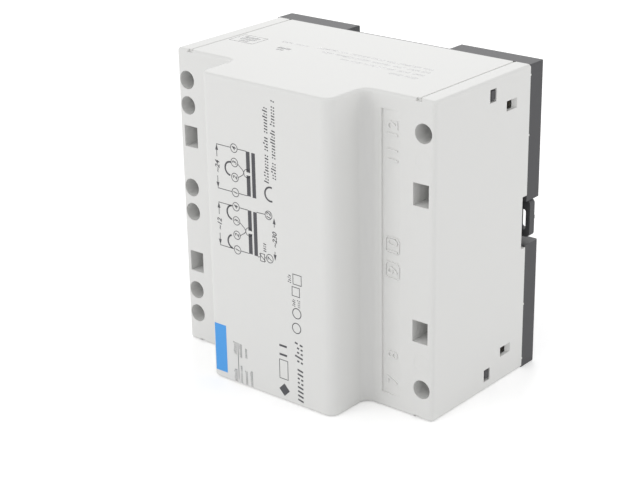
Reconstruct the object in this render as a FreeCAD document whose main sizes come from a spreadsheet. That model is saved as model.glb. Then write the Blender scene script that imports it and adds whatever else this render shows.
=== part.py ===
"""Doorbell transformer for a 35 mm rail, five modules wide.

It stands on one of its side faces. X runs from the low-voltage end to the mains end, Y from the
raised front to the rail, and Z along the rail. The origin is the middle of the side face below.
"""
import FreeCAD, Part
import math
import os
import Sketcher

os.makedirs("parts", exist_ok=True)

# Driving dimensions in millimetres: name, size and what it is.
SIZES = [
    ("module_width", 18.0, "width of one module along the rail"),
    ("module_count", 5, "modules taken up on the rail"),
    ("overall_height", 90.0, "from one terminal end to the other"),
    ("overall_depth", 64.5, "from the front face to the back of the base"),
    ("raised_height", 45.0, "raised front, the cut-out of a distribution board"),
    ("shoulder_setback", 14.5, "front face to shoulders"),
    ("base_behind_shell", 6.5, "back edge of the shell to the back of the base"),
    ("wall", 1.8, "shell wall at the front, shoulders and sides"),
    ("end_wall", 1.2, "shell wall at the terminal ends"),
    ("raised_rounding", 3.0, "radius along the raised front"),
    ("valley_rounding", 3.0, "radius where the raised front meets a shoulder"),
    ("shoulder_rounding", 1.2, "radius of a shoulder's outer edge"),
    ("rim_rounding", 0.9, "radius round the two side faces"),
    ("terminal_pitch", 7.5, "step between the two terminals of a pair"),
    ("outer_pair_inset", 12.75, "side face to the middle of an outer pair"),
    ("screw_head_gap", 0.2, "clearance of a screw head in its well"),
    ("well_wall", 1.0, "wall round a well below the shoulder"),
    ("square_well_inset", 4.3, "terminal end to the middle of a square well"),
    ("square_well_length", 5.0, "square well across the shoulder"),
    ("square_well_height", 6.3, "square well along the rail"),
    ("square_well_step", 12.95, "middle of an outer pair to a square well"),
    ("label_strip_gap", 5.4, "raised front to the deep side of the number strip"),
    ("label_strip_width", 6.1, "number strip from its deep side to where it runs out"),
    ("label_strip_depth", 0.6, "depth of the number strip at its deep side"),
    ("label_strip_margin", 4.5, "side face to the end of the number strip"),
    ("groove_inset", 5.2, "terminal end to a groove in a side face"),
    ("groove_width", 0.5, "width of that groove"),
    ("groove_depth", 0.4, "depth of that groove"),
    ("groove_notch_width", 2.0, "notch at the front end of that groove"),
    ("groove_notch_length", 1.0, "that notch from front to back"),
    ("groove_notch_depth", 0.8, "depth of that notch"),
    ("groove_end_width", 0.9, "notch at the back end of that groove"),
    ("groove_end_length", 0.5, "that back notch from front to back"),
    ("snap_arm_length", 17.2, "base plate to the front of a snap window"),
    ("snap_window_length", 2.9, "snap window from front to back"),
    ("snap_window_height", 3.65, "snap window along the rail"),
    ("snap_arm_gap", 0.15, "clearance of a snap arm beside its carrier"),
    ("wire_entry_height", 2.85, "wire entry along the rail"),
    ("funnel_length", 1.0, "slope that leads a wire into its entry"),
    ("latch_notch_depth", 2.1, "notch in the back edge of the shell, at the latch"),
    ("latch_notch_height", 15.4, "that notch along the rail"),
    ("seat_proud", 0.5, "rail seat behind the back edge of the shell"),
    ("plate_thickness", 2.5, "base plate under the rail seat"),
    ("fit_gap", 0.15, "clearance of the base inside the shell"),
    ("base_inset", 0.05, "ends of the base inside the ends of the shell"),
    ("base_rounding", 0.6, "radius of the base's rear corners"),
    ("base_rim_rounding", 0.25, "radius round the sides of the base blocks"),
    ("fixed_edge", 18.6, "middle of the device to the fixed side of the rail channel"),
    ("latch_edge", 17.8, "middle of the device to the latch side of the rail channel"),
    ("rail_flange", 1.0, "thickness of the rail's flange"),
    ("rail_gap", 0.3, "clearance between the flange and the fixed hooks"),
    ("hook_reach", 1.5, "fixed hook over the flange"),
    ("hook_thickness", 2.2, "fixed hook from front to back"),
    ("hook_start", 15.0, "middle of the device to a fixed hook, along the rail"),
    ("hook_length", 20.0, "fixed hook along the rail"),
    ("block_floor", 1.8, "rear wall of the hollow base blocks"),
    ("cell_margin", 14.0, "side face to the first hollow of a base block"),
    ("cell_inner_wall", 1.8, "wall between a hollow and the rail channel"),
    ("cell_outer_wall", 4.2, "wall between a hollow and the end of the base"),
    ("cell_rib", 1.0, "half the rib between the two hollows of the fixed block"),
    ("latch_thickness", 2.4, "latch from front to back"),
    ("latch_width", 10.9, "latch along the rail"),
    ("latch_front_gap", 0.45, "rail flange to the latch"),
    ("latch_nose_reach", 2.5, "latch's nose over the rail"),
    ("latch_nose_slope", 1.8, "slope of the nose that the rail pushes on"),
    ("latch_tab_rounding", 1.2, "corners of the latch's outer end"),
    ("latch_slot_edge", 1.35, "outer end of the latch to its screwdriver slot"),
    ("latch_slot_length", 2.3, "screwdriver slot along the latch"),
    ("latch_slot_width", 6.0, "screwdriver slot along the rail"),
    ("latch_slot_shift", 0.4, "middle of the latch to the middle of that slot"),
    ("latch_slot_rounding", 0.7, "corners of that slot"),
    ("spring_room", 9.5, "inner side of the spring window to the spring's post"),
    ("spring_window_gap", 0.5, "clearance of the spring in the latch's window"),
    ("latch_stop_gap", 0.3, "clearance of the latch against its stop post"),
    ("latch_bump_length", 0.8, "small catch bump on the back of the latch"),
    ("latch_bump_width", 1.0, "that bump along the rail"),
    ("latch_bump_height", 0.35, "that bump from front to back"),
    ("latch_bump_inset", 0.5, "outer end of the latch to the middle of that bump"),
    ("guide_gap", 0.1, "clearance round the sliding latch"),
    ("guide_wall", 3.3, "solid beside the latch's guide"),
    ("latch_bay_length", 6.5, "open bay at the latch's end"),
    ("latch_bay_gap", 0.35, "latch to the high side of that bay"),
    ("latch_bay_low_gap", 1.75, "latch to the low side of that bay"),
    ("stop_post_gap", 3.5, "spring's post to that bay"),
    ("stop_post_length", 1.5, "spring's post along the latch"),
    ("spring_groove_gap", 0.3, "clearance of the spring in its groove in the guide"),
    ("spring_groove_lead", 2.0, "that groove beyond the inner end of the spring"),
    ("spring_radius", 1.3, "middle radius of the latch spring"),
    ("spring_wire_radius", 0.2, "wire of the latch spring"),
    ("spring_turns", 6, "turns of the latch spring"),
    ("spring_end_gap", 0.05, "clearance at each end of the latch spring"),
    ("snap_arm_thickness", 1.45, "snap arm across the device"),
    ("snap_arm_height", 2.5, "snap arm along the rail"),
    ("snap_nose_inset", 0.3, "snap nose inside the end face"),
    ("snap_nose_slope", 1.1, "slope that leads a snap nose into its window"),
    ("carrier_rib_length", 2.7, "terminal carrier to the base plate"),
    ("carrier_inner_wall", 1.9, "inner wall of a carrier"),
    ("carrier_end_wall", 0.55, "carrier beyond its last chamber"),
    ("carrier_roof", 1.5, "front and rear wall of a carrier"),
    ("chamber_gap", 0.15, "clearance of a cage beside the walls of its chamber"),
    ("seat_gap", 0.1, "clearance where hidden pieces seat on each other"),
    ("screw_head_radius", 2.5, "terminal screw head"),
    ("screw_head_height", 2.0, "height of that head"),
    ("screw_slot_width", 0.7, "slot in that head"),
    ("screw_slot_depth", 0.9, "depth of that slot"),
    ("screw_radius", 1.5, "terminal screw shank"),
    ("screw_hole_gap", 0.15, "clearance of the shank in the carrier"),
    ("thread_gap", 0.05, "clearance of the shank in the cage"),
    ("bar_thickness", 1.0, "contact bar from front to back"),
    ("bar_width", 3.2, "contact bar along the rail"),
    ("bar_tail", 2.0, "contact bar inside the carrier's inner face"),
    ("bar_end_inset", 0.45, "outer face of a carrier to its contact bars"),
    ("cage_length", 4.2, "clamp cage along the wire"),
    ("bar_side_gap", 0.1, "clearance of a contact bar in its cage"),
    ("cage_wall", 0.7, "side wall of a cage"),
    ("cage_roof", 1.8, "tapped wall of a cage"),
    ("cage_floor", 0.8, "wall that presses the wire"),
    ("cage_bar_gap", 0.3, "open cage to the contact bar"),
    ("wire_space", 4.0, "room for the wire in an open cage"),
    ("cage_rest_gap", 0.3, "open cage to the rear wall of its chamber"),
    ("cage_end_gap", 0.2, "cage to the outer face of its carrier"),
    ("cage_inner_gap", 0.35, "cage to the inner wall of its chamber"),
    ("core_side_gap", 4.2, "shell's side wall to the core"),
    ("core_front_gap", 1.7, "shell's shoulder to the core"),
    ("core_raised_gap", 1.2, "core's window inside the raised wall"),
    ("core_bar_gap", 2.5, "core to the contact bars"),
    ("sheet_thickness", 0.5, "one sheet of the core"),
    ("bobbin_gap", 0.25, "clearance of the bobbin on the core"),
    ("bobbin_wall", 1.2, "bobbin tube, flanges and divider"),
    ("bobbin_end_gap", 0.3, "clearance of the bobbin in the core's window"),
    ("winding_side_gap", 2.55, "windings to the side legs of the core"),
    ("inner_winding_build", 4.3, "height of the inner low-voltage winding"),
    ("wrap_thickness", 0.5, "insulating wrap"),
    ("flange_side_gap", 0.4, "clearance of a flange in the core's window"),
    ("flange_margin", 1.0, "flange beyond the windings, front and back"),
    ("flange_back_gap", 0.55, "flange to the base plate"),
    ("pin_radius", 0.5, "pin in a bobbin flange"),
    ("pin_gap", 0.02, "clearance of a pin in its hole"),
    ("pin_inset", 4.45, "back of a flange to its pins"),
    ("pin_length", 2.8, "pin outside the flange"),
    ("outer_pin_inset", 1.6, "side of a flange to its outer pins"),
    ("pin_step", 7.0, "outer pin to the pin beside it"),
    ("lead_radius", 0.6, "wire from a pin to a contact bar"),
    ("lead_first_run", 4.0, "straight part of a lead at its pin"),
    ("lead_bend_gap", 1.2, "bend of a lead before its contact bar"),
    ("lead_end_gap", 0.15, "end of a lead to the carrier"),
    ("thermistor_radius", 3.5, "thermistor disc"),
    ("thermistor_thickness", 2.5, "thickness of that disc"),
    ("thermistor_gap", 1.1, "winding pin to the edge of that disc"),
    ("thermistor_leg", 1.5, "leg beyond that disc, towards the terminal"),
    ("post_inset", 5.5, "end of the core to a post behind it"),
    ("post_length", 6.0, "that post across the device"),
    ("post_side_inset", 3.5, "side of the core to that post"),
    ("post_height", 5.0, "that post along the rail"),
    ("side_stop_length", 1.6, "stop beside the core's end"),
    ("side_stop_height", 6.0, "that stop along the rail"),
    ("side_stop_offset", 16.0, "middle of the device to that stop, along the rail"),
    ("side_stop_lap", 4.0, "that stop beside the core"),
    ("carrier_rib_inset", 4.1, "side of a carrier to the rib behind it"),
    ("carrier_rib_thickness", 2.0, "that rib along the rail"),
    ("core_rib_inset", 4.5, "end of the core to a shell rib in front of it"),
    ("core_rib_length", 4.0, "that rib across the device"),
    ("core_rib_thickness", 1.6, "ribs of the shell"),
    ("core_rib_side_inset", 6.0, "side of the core to that rib"),
    ("core_rib_back_gap", 6.0, "base plate to the shell's side ribs"),
    ("ink_thickness", 0.05, "printed ink"),
    ("ink_line", 0.2, "width of a fine printed line"),
    ("coil_bar_width", 1.3, "printed bar that stands for a winding"),
    ("coil_bar_gap", 0.65, "gap between the two printed bars"),
    ("coil_break", 1.4, "break in the middle of the first printed bar"),
    ("coil_bar_left", -6.35, "left side of the first printed bar"),
    ("diagram_step", 4.15, "step between printed terminal circles"),
    ("circle_radius", 1.35, "printed terminal circle"),
    ("circle_column", -10.7, "column of the printed secondary circles"),
    ("mains_column", 1.0, "column of the printed mains circles"),
    ("upper_diagram_foot", 58.2, "lowest circle of the upper diagram"),
    ("lower_diagram_foot", 41.4, "lowest circle of the lower diagram"),
    ("voltage_column", -17.0, "column of the printed voltage lines"),
    ("mains_voltage_column", 3.1, "column of the printed mains voltage line"),
    ("colour_bar_inset", 2.0, "raised wall to the blue field"),
    ("colour_bar_width", 4.3, "width of the blue field"),
    ("colour_bar_foot", 2.4, "lower end of the blue field"),
    ("colour_bar_height", 14.6, "height of the blue field"),
]

document = FreeCAD.newDocument("doorbell_transformer")
sheet = document.addObject("Spreadsheet::Sheet", "sizes")
for row, (alias, size, meaning) in enumerate(SIZES, start=1):
    sheet.set(f"A{row}", alias)
    sheet.set(f"B{row}", str(size))
    sheet.setAlias(f"B{row}", alias)
    sheet.set(f"C{row}", meaning)
document.recompute()

# Places worked out from the driving dimensions, as expressions.
WIDTH = "(sizes.module_count * sizes.module_width)"
MIDDLE = f"({WIDTH} / 2)"
FRONT = "(-sizes.overall_depth / 2)"
BACK = "(sizes.overall_depth / 2)"
SHOULDER = f"({FRONT} + sizes.shoulder_setback)"
SHELL_BACK = f"({BACK} - sizes.base_behind_shell)"
RAIL_SEAT = f"({SHELL_BACK} + sizes.seat_proud)"
PLATE_FRONT = f"({RAIL_SEAT} - sizes.plate_thickness)"
END = "(sizes.overall_height / 2)"
END_INSIDE = f"({END} - sizes.end_wall)"
RAISED = "(sizes.raised_height / 2)"

LOW_VOLTAGE_SIGN = -1
MAINS_SIGN = 1
OUTER_PAIR = f"({MIDDLE} - sizes.outer_pair_inset)"
OUTER_HIGH = f"({OUTER_PAIR} + sizes.terminal_pitch / 2)"
OUTER_LOW = f"({OUTER_PAIR} - sizes.terminal_pitch / 2)"
INNER = "(sizes.terminal_pitch / 2)"
TERMINAL_OFFSETS = [OUTER_HIGH, OUTER_LOW, INNER, f"-{INNER}", f"-{OUTER_LOW}", f"-{OUTER_HIGH}"]
TERMINALS = [(len(TERMINAL_OFFSETS) - place, LOW_VOLTAGE_SIGN, offset)
             for place, offset in enumerate(TERMINAL_OFFSETS)]
TERMINALS += [(12, MAINS_SIGN, OUTER_HIGH), (7, MAINS_SIGN, f"-{OUTER_HIGH}")]

CAGE_WIDTH = "(sizes.bar_width + 2 * sizes.bar_side_gap + 2 * sizes.cage_wall)"
CHAMBER_WIDTH = f"({CAGE_WIDTH} + 2 * sizes.chamber_gap)"
CARRIER_BACK = f"({PLATE_FRONT} - sizes.carrier_rib_length)"
CHAMBER_BACK = f"({CARRIER_BACK} - sizes.carrier_roof)"
CAGE_FLOOR_FRONT = f"({CHAMBER_BACK} - sizes.cage_rest_gap - sizes.cage_floor)"
BAR_BACK = f"({CAGE_FLOOR_FRONT} - sizes.wire_space)"
BAR_FRONT = f"({BAR_BACK} - sizes.bar_thickness)"
CAGE_ROOF_BACK = f"({BAR_FRONT} - sizes.cage_bar_gap)"
CAGE_ROOF_FRONT = f"({CAGE_ROOF_BACK} - sizes.cage_roof)"
CHAMBER_FRONT = f"({CAGE_ROOF_FRONT} - sizes.wire_space)"
CARRIER_FRONT = f"({CHAMBER_FRONT} - sizes.carrier_roof)"
WELL_END = f"({CARRIER_FRONT} - sizes.seat_gap)"
WELL_RADIUS = "(sizes.screw_head_radius + sizes.screw_head_gap)"
CARRIER_OUTER = f"({END_INSIDE} - sizes.fit_gap)"
TERMINAL_REACH = f"({CARRIER_OUTER} - sizes.cage_end_gap - sizes.cage_length / 2)"
CHAMBER_START = f"({TERMINAL_REACH} - sizes.cage_length / 2 - sizes.cage_inner_gap)"
CARRIER_INNER = f"({CHAMBER_START} - sizes.carrier_inner_wall)"
CARRIER_HALF = f"({OUTER_HIGH} + {CHAMBER_WIDTH} / 2 + sizes.carrier_end_wall)"
BAR_INNER = f"({CARRIER_INNER} - sizes.bar_tail)"
BAR_OUTER = f"({CARRIER_OUTER} - sizes.bar_end_inset)"
SQUARE_WELL_REACH = f"({END} - sizes.square_well_inset)"
SQUARE_WELL_OFFSET = f"({OUTER_PAIR} - sizes.square_well_step)"
SNAP_OFFSET = f"({CARRIER_HALF} + sizes.snap_arm_gap + sizes.snap_arm_height / 2)"
SNAP_WINDOW_FRONT = f"({PLATE_FRONT} - sizes.snap_arm_length)"

BLOCK_FLOOR = f"({BACK} - sizes.block_floor)"
LATCH_FRONT = f"({RAIL_SEAT} + sizes.rail_flange + sizes.latch_front_gap)"
LATCH_BACK = f"({LATCH_FRONT} + sizes.latch_thickness)"
LATCH_MIDDLE = f"({LATCH_FRONT} + sizes.latch_thickness / 2)"
LATCH_END = f"({END} - sizes.base_inset)"
LATCH_NOSE = "(sizes.latch_edge - sizes.latch_nose_reach)"
LATCH_BAY = f"({END} - sizes.latch_bay_length)"
POST_END = f"({LATCH_BAY} - sizes.stop_post_gap)"
POST_START = f"({POST_END} - sizes.stop_post_length)"
LATCH_WINDOW = f"({POST_START} - sizes.spring_room)"
SPRING_SIDE = "(sizes.spring_radius + sizes.spring_wire_radius)"
WINDOW_HALF = f"({SPRING_SIDE} + sizes.spring_window_gap)"
GROOVE_HALF = f"({SPRING_SIDE} + sizes.spring_groove_gap)"

CORE_UNIT = f"(({MIDDLE} - sizes.wall - sizes.core_side_gap) / 3)"
WINDING_BUILD = f"({CORE_UNIT} - sizes.bobbin_gap - sizes.bobbin_wall - sizes.winding_side_gap)"
WOUND_BUILD = f"({WINDING_BUILD} - sizes.wrap_thickness)"
FLANGE_BACK = f"({PLATE_FRONT} - sizes.flange_back_gap)"
FLANGE_LAP = f"(sizes.bobbin_gap + sizes.bobbin_wall + {WINDING_BUILD} + sizes.flange_margin)"
CORE_FRONT = f"({SHOULDER} + sizes.wall + sizes.core_front_gap)"
CORE_BACK = f"({FLANGE_BACK} - {FLANGE_LAP})"
CORE_STACK = f"({CORE_BACK} - {CORE_FRONT})"
CORE_MIDDLE = f"(({CORE_FRONT} + {CORE_BACK}) / 2)"
INSIDE_RAISED = f"({RAISED} - sizes.wall)"
CORE_WINDOW = f"min({INSIDE_RAISED} - sizes.core_raised_gap; {BAR_INNER} - sizes.core_bar_gap - {CORE_UNIT})"
CORE_END = f"({CORE_WINDOW} + {CORE_UNIT})"
CORE_SIDE = f"(3 * {CORE_UNIT})"
BOBBIN_END = f"({CORE_WINDOW} - sizes.bobbin_end_gap)"
CHAMBER_END = f"({BOBBIN_END} - sizes.bobbin_wall)"
DIVIDER = "(sizes.bobbin_wall / 2)"
BORE_HALF_Y = f"({CORE_STACK} / 2 + sizes.bobbin_gap)"
BORE_HALF_Z = f"({CORE_UNIT} + sizes.bobbin_gap)"
TUBE_HALF_Y = f"({BORE_HALF_Y} + sizes.bobbin_wall)"
TUBE_HALF_Z = f"({BORE_HALF_Z} + sizes.bobbin_wall)"
FLANGE_HALF_Z = f"(2 * {CORE_UNIT} - sizes.flange_side_gap)"
PIN_LEVEL = f"({FLANGE_BACK} - sizes.pin_inset)"
PIN_TIP = f"({BOBBIN_END} + sizes.pin_length)"
OUTER_PIN = f"({FLANGE_HALF_Z} - sizes.outer_pin_inset)"
SECOND_PIN = f"({OUTER_PIN} - sizes.pin_step)"
PIN_OFFSETS = {
    LOW_VOLTAGE_SIGN: [f"-{OUTER_PIN}", f"-{SECOND_PIN}", f"-{INNER}", INNER],
    MAINS_SIGN: [f"-{OUTER_PIN}", OUTER_PIN],
}
THERMISTOR_REACH = f"({PIN_TIP} + sizes.thermistor_gap + sizes.thermistor_radius)"
THERMISTOR_TIP = f"({THERMISTOR_REACH} + sizes.thermistor_radius + sizes.thermistor_leg)"
LEAD_LEVEL = f"({BAR_BACK} + sizes.lead_radius)"
LEAD_BEND = f"({BAR_INNER} - sizes.lead_bend_gap)"

PLANES = {"X": ("YZ_Plane", 1), "Y": ("XZ_Plane", -1), "Z": ("XY_Plane", 1)}
ORIGIN_INDEX = (-1, 1)
START_INDEX = 1
END_INDEX = 2
CENTRE_INDEX = 3
OVERCUT = "1.0"
ARC_SHARE = 0.45
pieces = []


def amount(expression):
    """Value of an expression, in millimetres."""
    return float(sheet.evalExpression(str(expression)))


def span(middle, half):
    """Low and high side of a stretch, from its middle and its half."""
    return f"({middle}) - ({half})", f"({middle}) + ({half})"


def towards(side, inner, outer):
    """Stretch along X between two distances from the middle, at one end of the device."""
    if side == MAINS_SIGN:
        return inner, outer
    return f"-({outer})", f"-({inner})"


def rectangle(across, along):
    """Corners of a rectangle from its two stretches."""
    (left, right), (low, high) = across, along
    return [(left, low), (right, low), (right, high), (left, high)]


def keep(piece, label):
    """Names a finished piece and lists it for the export."""
    piece.Label = label
    pieces.append(piece)
    return piece


def new_body(label):
    return keep(document.addObject("PartDesign::Body", label), label)


def sized_point(geometry, point, across, along):
    """Constraints that hold a point at a place given by two expressions."""
    return [(Sketcher.Constraint(kind, *ORIGIN_INDEX, geometry, point, amount(expression)), expression)
            for kind, expression in (("DistanceX", across), ("DistanceY", along))]


def draw_outline(first, corners):
    """Closed outline of straight lines: its lines, joints and sized constraints."""
    count = len(corners)
    places = [FreeCAD.Vector(amount(across), amount(along), 0) for across, along in corners]
    lines = [Part.LineSegment(places[index], places[(index + 1) % count]) for index in range(count)]
    joints = []
    sized = []
    for index, (across, along) in enumerate(corners):
        following = first + (index + 1) % count
        joints.append(Sketcher.Constraint("Coincident", first + index, END_INDEX, following, START_INDEX))
        sized += sized_point(first + index, START_INDEX, across, along)
    return lines, joints, sized


def draw_circle(first, across, along, radius):
    """Circle: its curve and its sized constraints."""
    centre = FreeCAD.Vector(amount(across), amount(along), 0)
    circle = Part.Circle(centre, FreeCAD.Vector(0, 0, 1), amount(radius))
    sized = sized_point(first, CENTRE_INDEX, across, along)
    sized.append((Sketcher.Constraint("Radius", first, amount(radius)), radius))
    return [circle], [], sized


def draw_rounded(first, corners, radius):
    """Rectangle with round corners: its lines and arcs, joints and sized constraints."""
    size = amount(radius)
    places = [FreeCAD.Vector(amount(across), amount(along), 0) for across, along in corners]
    curves = []
    joints = []
    sized = []
    for index, place in enumerate(places):
        ahead = (places[(index + 1) % 4] - place).normalize()
        onward = (places[(index + 2) % 4] - places[(index + 1) % 4]).normalize()
        line_end = places[(index + 1) % 4] - ahead * size
        curves.append(Part.LineSegment(place + ahead * size, line_end))
        centre = line_end + onward * size
        start_angle = math.radians(90 * (index - 1))
        circle = Part.Circle(centre, FreeCAD.Vector(0, 0, 1), size)
        curves.append(Part.ArcOfCircle(circle, start_angle, start_angle + math.pi / 2))
        line = first + 2 * index
        arc = line + 1
        following = first + (2 * index + 2) % 8
        level = index % 2 == 0
        joints.append(Sketcher.Constraint("Horizontal" if level else "Vertical", line))
        joints.append(Sketcher.Constraint("Tangent", line, END_INDEX, arc, START_INDEX))
        joints.append(Sketcher.Constraint("Tangent", arc, END_INDEX, following, START_INDEX))
        sized.append((Sketcher.Constraint("Radius", arc, size), radius))
        across, along = sized_point(line, START_INDEX, *corners[index])
        sized.append(along if level else across)
    return curves, joints, sized


def new_sketch(body, axis, position, shapes):
    """Sketch square to an axis.

    A list of corners is an outline, a pair of corners and radius a rectangle with round corners,
    and a triple of place and radius a circle.
    """
    role, sense = PLANES[axis]
    sketch = body.newObject("Sketcher::SketchObject", f"{body.Label}_sketch")
    plane = next(item for item in body.Origin.OriginFeatures if item.Role == role)
    sketch.AttachmentSupport = [(plane, "")]
    sketch.MapMode = "FlatFace"
    sketch.setExpression(".AttachmentOffset.Base.z", f"{sense} * ({position})")
    curves = []
    joints = []
    sized = []
    for shape in shapes:
        if isinstance(shape, list):
            drawn = draw_outline(len(curves), shape)
        elif len(shape) == 2:
            drawn = draw_rounded(len(curves), *shape)
        else:
            drawn = draw_circle(len(curves), *shape)
        curves += drawn[0]
        joints += drawn[1]
        sized += drawn[2]
    sketch.addGeometry(curves, False)
    sketch.addConstraint(joints + [constraint for constraint, _ in sized])
    for number, (_, expression) in enumerate(sized, start=len(joints)):
        sketch.setExpression(f"Constraints[{number}]", expression)
    return sketch


def prism(body, axis, stretch, shapes, cut=False):
    """Pads or pockets shapes along an axis, over a stretch of it."""
    low, high = stretch
    sketch = new_sketch(body, axis, low, shapes)
    kind = "Pocket" if cut else "Pad"
    feature = body.newObject(f"PartDesign::{kind}", f"{body.Label}_{kind.lower()}")
    feature.Profile = sketch
    feature.setExpression("Length", f"({high}) - ({low})")
    against_axis = PLANES[axis][1] < 0
    feature.Reversed = against_axis != cut
    sketch.Visibility = False
    return feature


def edges_where(feature, test):
    """Names of the edges of a feature that pass a test."""
    return [f"Edge{number}" for number, edge in enumerate(feature.Shape.Edges, start=1) if test(edge)]


def is_at(value, expression, tolerance=1e-4):
    return abs(value - amount(expression)) < tolerance


def runs_along(edge, axis):
    box = edge.BoundBox
    lengths = {"X": box.XLength, "Y": box.YLength, "Z": box.ZLength}
    return all(lengths[other] < 1e-6 for other in lengths if other != axis)


def dress(body, kind, size, test):
    """Rounds or chamfers the edges that pass a test."""
    document.recompute()
    base = body.Tip
    feature = body.newObject(f"PartDesign::{kind}", f"{body.Label}_{kind.lower()}")
    feature.Base = (base, edges_where(base, test))
    feature.setExpression("Radius" if kind == "Fillet" else "Size", size)
    return feature


def well_group(side, offsets):
    """Moulded block below the shoulder round one or two screw wells."""
    reach = f"({WELL_RADIUS} + sizes.well_wall)"
    across = towards(side, f"{TERMINAL_REACH} - {reach}", f"{END_INSIDE} + sizes.end_wall / 2")
    along = (f"{MIDDLE} + {offsets[-1]} - {reach}", f"{MIDDLE} + {offsets[0]} + {reach}")
    return rectangle(across, along)


def make_housing():
    """One-piece shell with a raised front, open at the back."""
    body = new_body("housing")
    profile = [(f"-{END}", SHELL_BACK), (f"-{END}", SHOULDER), (f"-{RAISED}", SHOULDER),
               (f"-{RAISED}", FRONT), (RAISED, FRONT), (RAISED, SHOULDER), (END, SHOULDER),
               (END, SHELL_BACK)]
    prism(body, "Z", ("0", WIDTH), [profile])

    def upright(edge, across, level):
        middle = edge.CenterOfMass
        return runs_along(edge, "Z") and is_at(abs(middle.x), across) and is_at(middle.y, level)

    dress(body, "Fillet", "sizes.raised_rounding", lambda edge: upright(edge, RAISED, FRONT))
    dress(body, "Fillet", "sizes.valley_rounding", lambda edge: upright(edge, RAISED, SHOULDER))
    dress(body, "Fillet", "sizes.shoulder_rounding", lambda edge: upright(edge, END, SHOULDER))

    def on_rim(edge):
        middle = edge.CenterOfMass
        flat = edge.BoundBox.ZLength < 1e-6
        return flat and not is_at(middle.y, SHELL_BACK)

    dress(body, "Fillet", "sizes.rim_rounding", on_rim)

    inside_front = f"({FRONT} + sizes.wall)"
    inside_shoulder = f"({SHOULDER} + sizes.wall)"
    behind = f"({SHELL_BACK} + {OVERCUT})"
    cavity = [(f"-{END_INSIDE}", behind), (f"-{END_INSIDE}", inside_shoulder),
              (f"-{INSIDE_RAISED}", inside_shoulder), (f"-{INSIDE_RAISED}", inside_front),
              (INSIDE_RAISED, inside_front), (INSIDE_RAISED, inside_shoulder),
              (END_INSIDE, inside_shoulder), (END_INSIDE, behind)]
    prism(body, "Z", ("sizes.wall", f"{WIDTH} - sizes.wall"), [cavity], cut=True)

    blocks = [well_group(LOW_VOLTAGE_SIGN, TERMINAL_OFFSETS[first:first + 2]) for first in (0, 2, 4)]
    blocks += [well_group(MAINS_SIGN, [offset]) for _, side, offset in TERMINALS if side == MAINS_SIGN]
    half_length = "sizes.square_well_length / 2"
    half_height = "sizes.square_well_height / 2"
    holes = []
    for side in (LOW_VOLTAGE_SIGN, MAINS_SIGN):
        for offset in (SQUARE_WELL_OFFSET, f"-{SQUARE_WELL_OFFSET}"):
            place = f"{MIDDLE} + {offset}"
            block_start = f"{SQUARE_WELL_REACH} - {half_length} - sizes.well_wall"
            block = towards(side, block_start, f"{END_INSIDE} + sizes.end_wall / 2")
            blocks.append(rectangle(block, span(place, f"{half_height} + sizes.well_wall")))
            hole = towards(side, f"{SQUARE_WELL_REACH} - {half_length}",
                           f"{SQUARE_WELL_REACH} + {half_length}")
            holes.append(rectangle(hole, span(place, half_height)))
    for _, side, offset in TERMINALS:
        holes.append((f"{side} * {TERMINAL_REACH}", f"{MIDDLE} + {offset}", WELL_RADIUS))
    prism(body, "Y", (f"{SHOULDER} + sizes.wall / 2", WELL_END), blocks)
    prism(body, "Y", (f"{SHOULDER} - {OVERCUT}", f"{WELL_END} + {OVERCUT}"), holes, cut=True)

    strip_stretch = ("sizes.label_strip_margin", f"{WIDTH} - sizes.label_strip_margin")
    strips = []
    for side in (LOW_VOLTAGE_SIGN, MAINS_SIGN):
        start = f"{side} * ({RAISED} + sizes.label_strip_gap)"
        end = f"{side} * ({RAISED} + sizes.label_strip_gap + sizes.label_strip_width)"
        above = f"{SHOULDER} - sizes.label_strip_depth"
        strips.append([(start, above), (end, above), (end, SHOULDER),
                       (start, f"{SHOULDER} + sizes.label_strip_depth")])
    prism(body, "Z", strip_stretch, strips, cut=True)

    in_front = f"{SHOULDER} - {OVERCUT}"
    prism(body, "Y", (in_front, behind), side_cuts("sizes.groove_width", "sizes.groove_depth"), cut=True)
    notches = side_cuts("sizes.groove_notch_width", "sizes.groove_notch_depth")
    prism(body, "Y", (in_front, f"{SHOULDER} + sizes.groove_notch_length"), notches, cut=True)
    back_notches = side_cuts("sizes.groove_end_width", "sizes.groove_notch_depth")
    prism(body, "Y", (f"{SHELL_BACK} - sizes.groove_end_length", behind), back_notches, cut=True)

    for side in (LOW_VOLTAGE_SIGN, MAINS_SIGN):
        cut_end_windows(body, side)

    notch = rectangle((f"{SHELL_BACK} - sizes.latch_notch_depth", behind),
                      span(MIDDLE, "sizes.latch_notch_height / 2"))
    prism(body, "X", (f"{END_INSIDE} - {OVERCUT}", f"{END} + {OVERCUT}"), [notch], cut=True)
    add_core_ribs(body)
    return body


def side_cuts(width, depth):
    """Rectangles that cut a groove's width and depth into both side faces, near both ends."""
    cuts = []
    for side in (LOW_VOLTAGE_SIGN, MAINS_SIGN):
        across = span(f"{side} * ({END} - sizes.groove_inset)", f"{width} / 2")
        cuts.append(rectangle(across, (f"-{OVERCUT}", depth)))
        cuts.append(rectangle(across, (f"{WIDTH} - {depth}", f"{WIDTH} + {OVERCUT}")))
    return cuts


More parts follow.
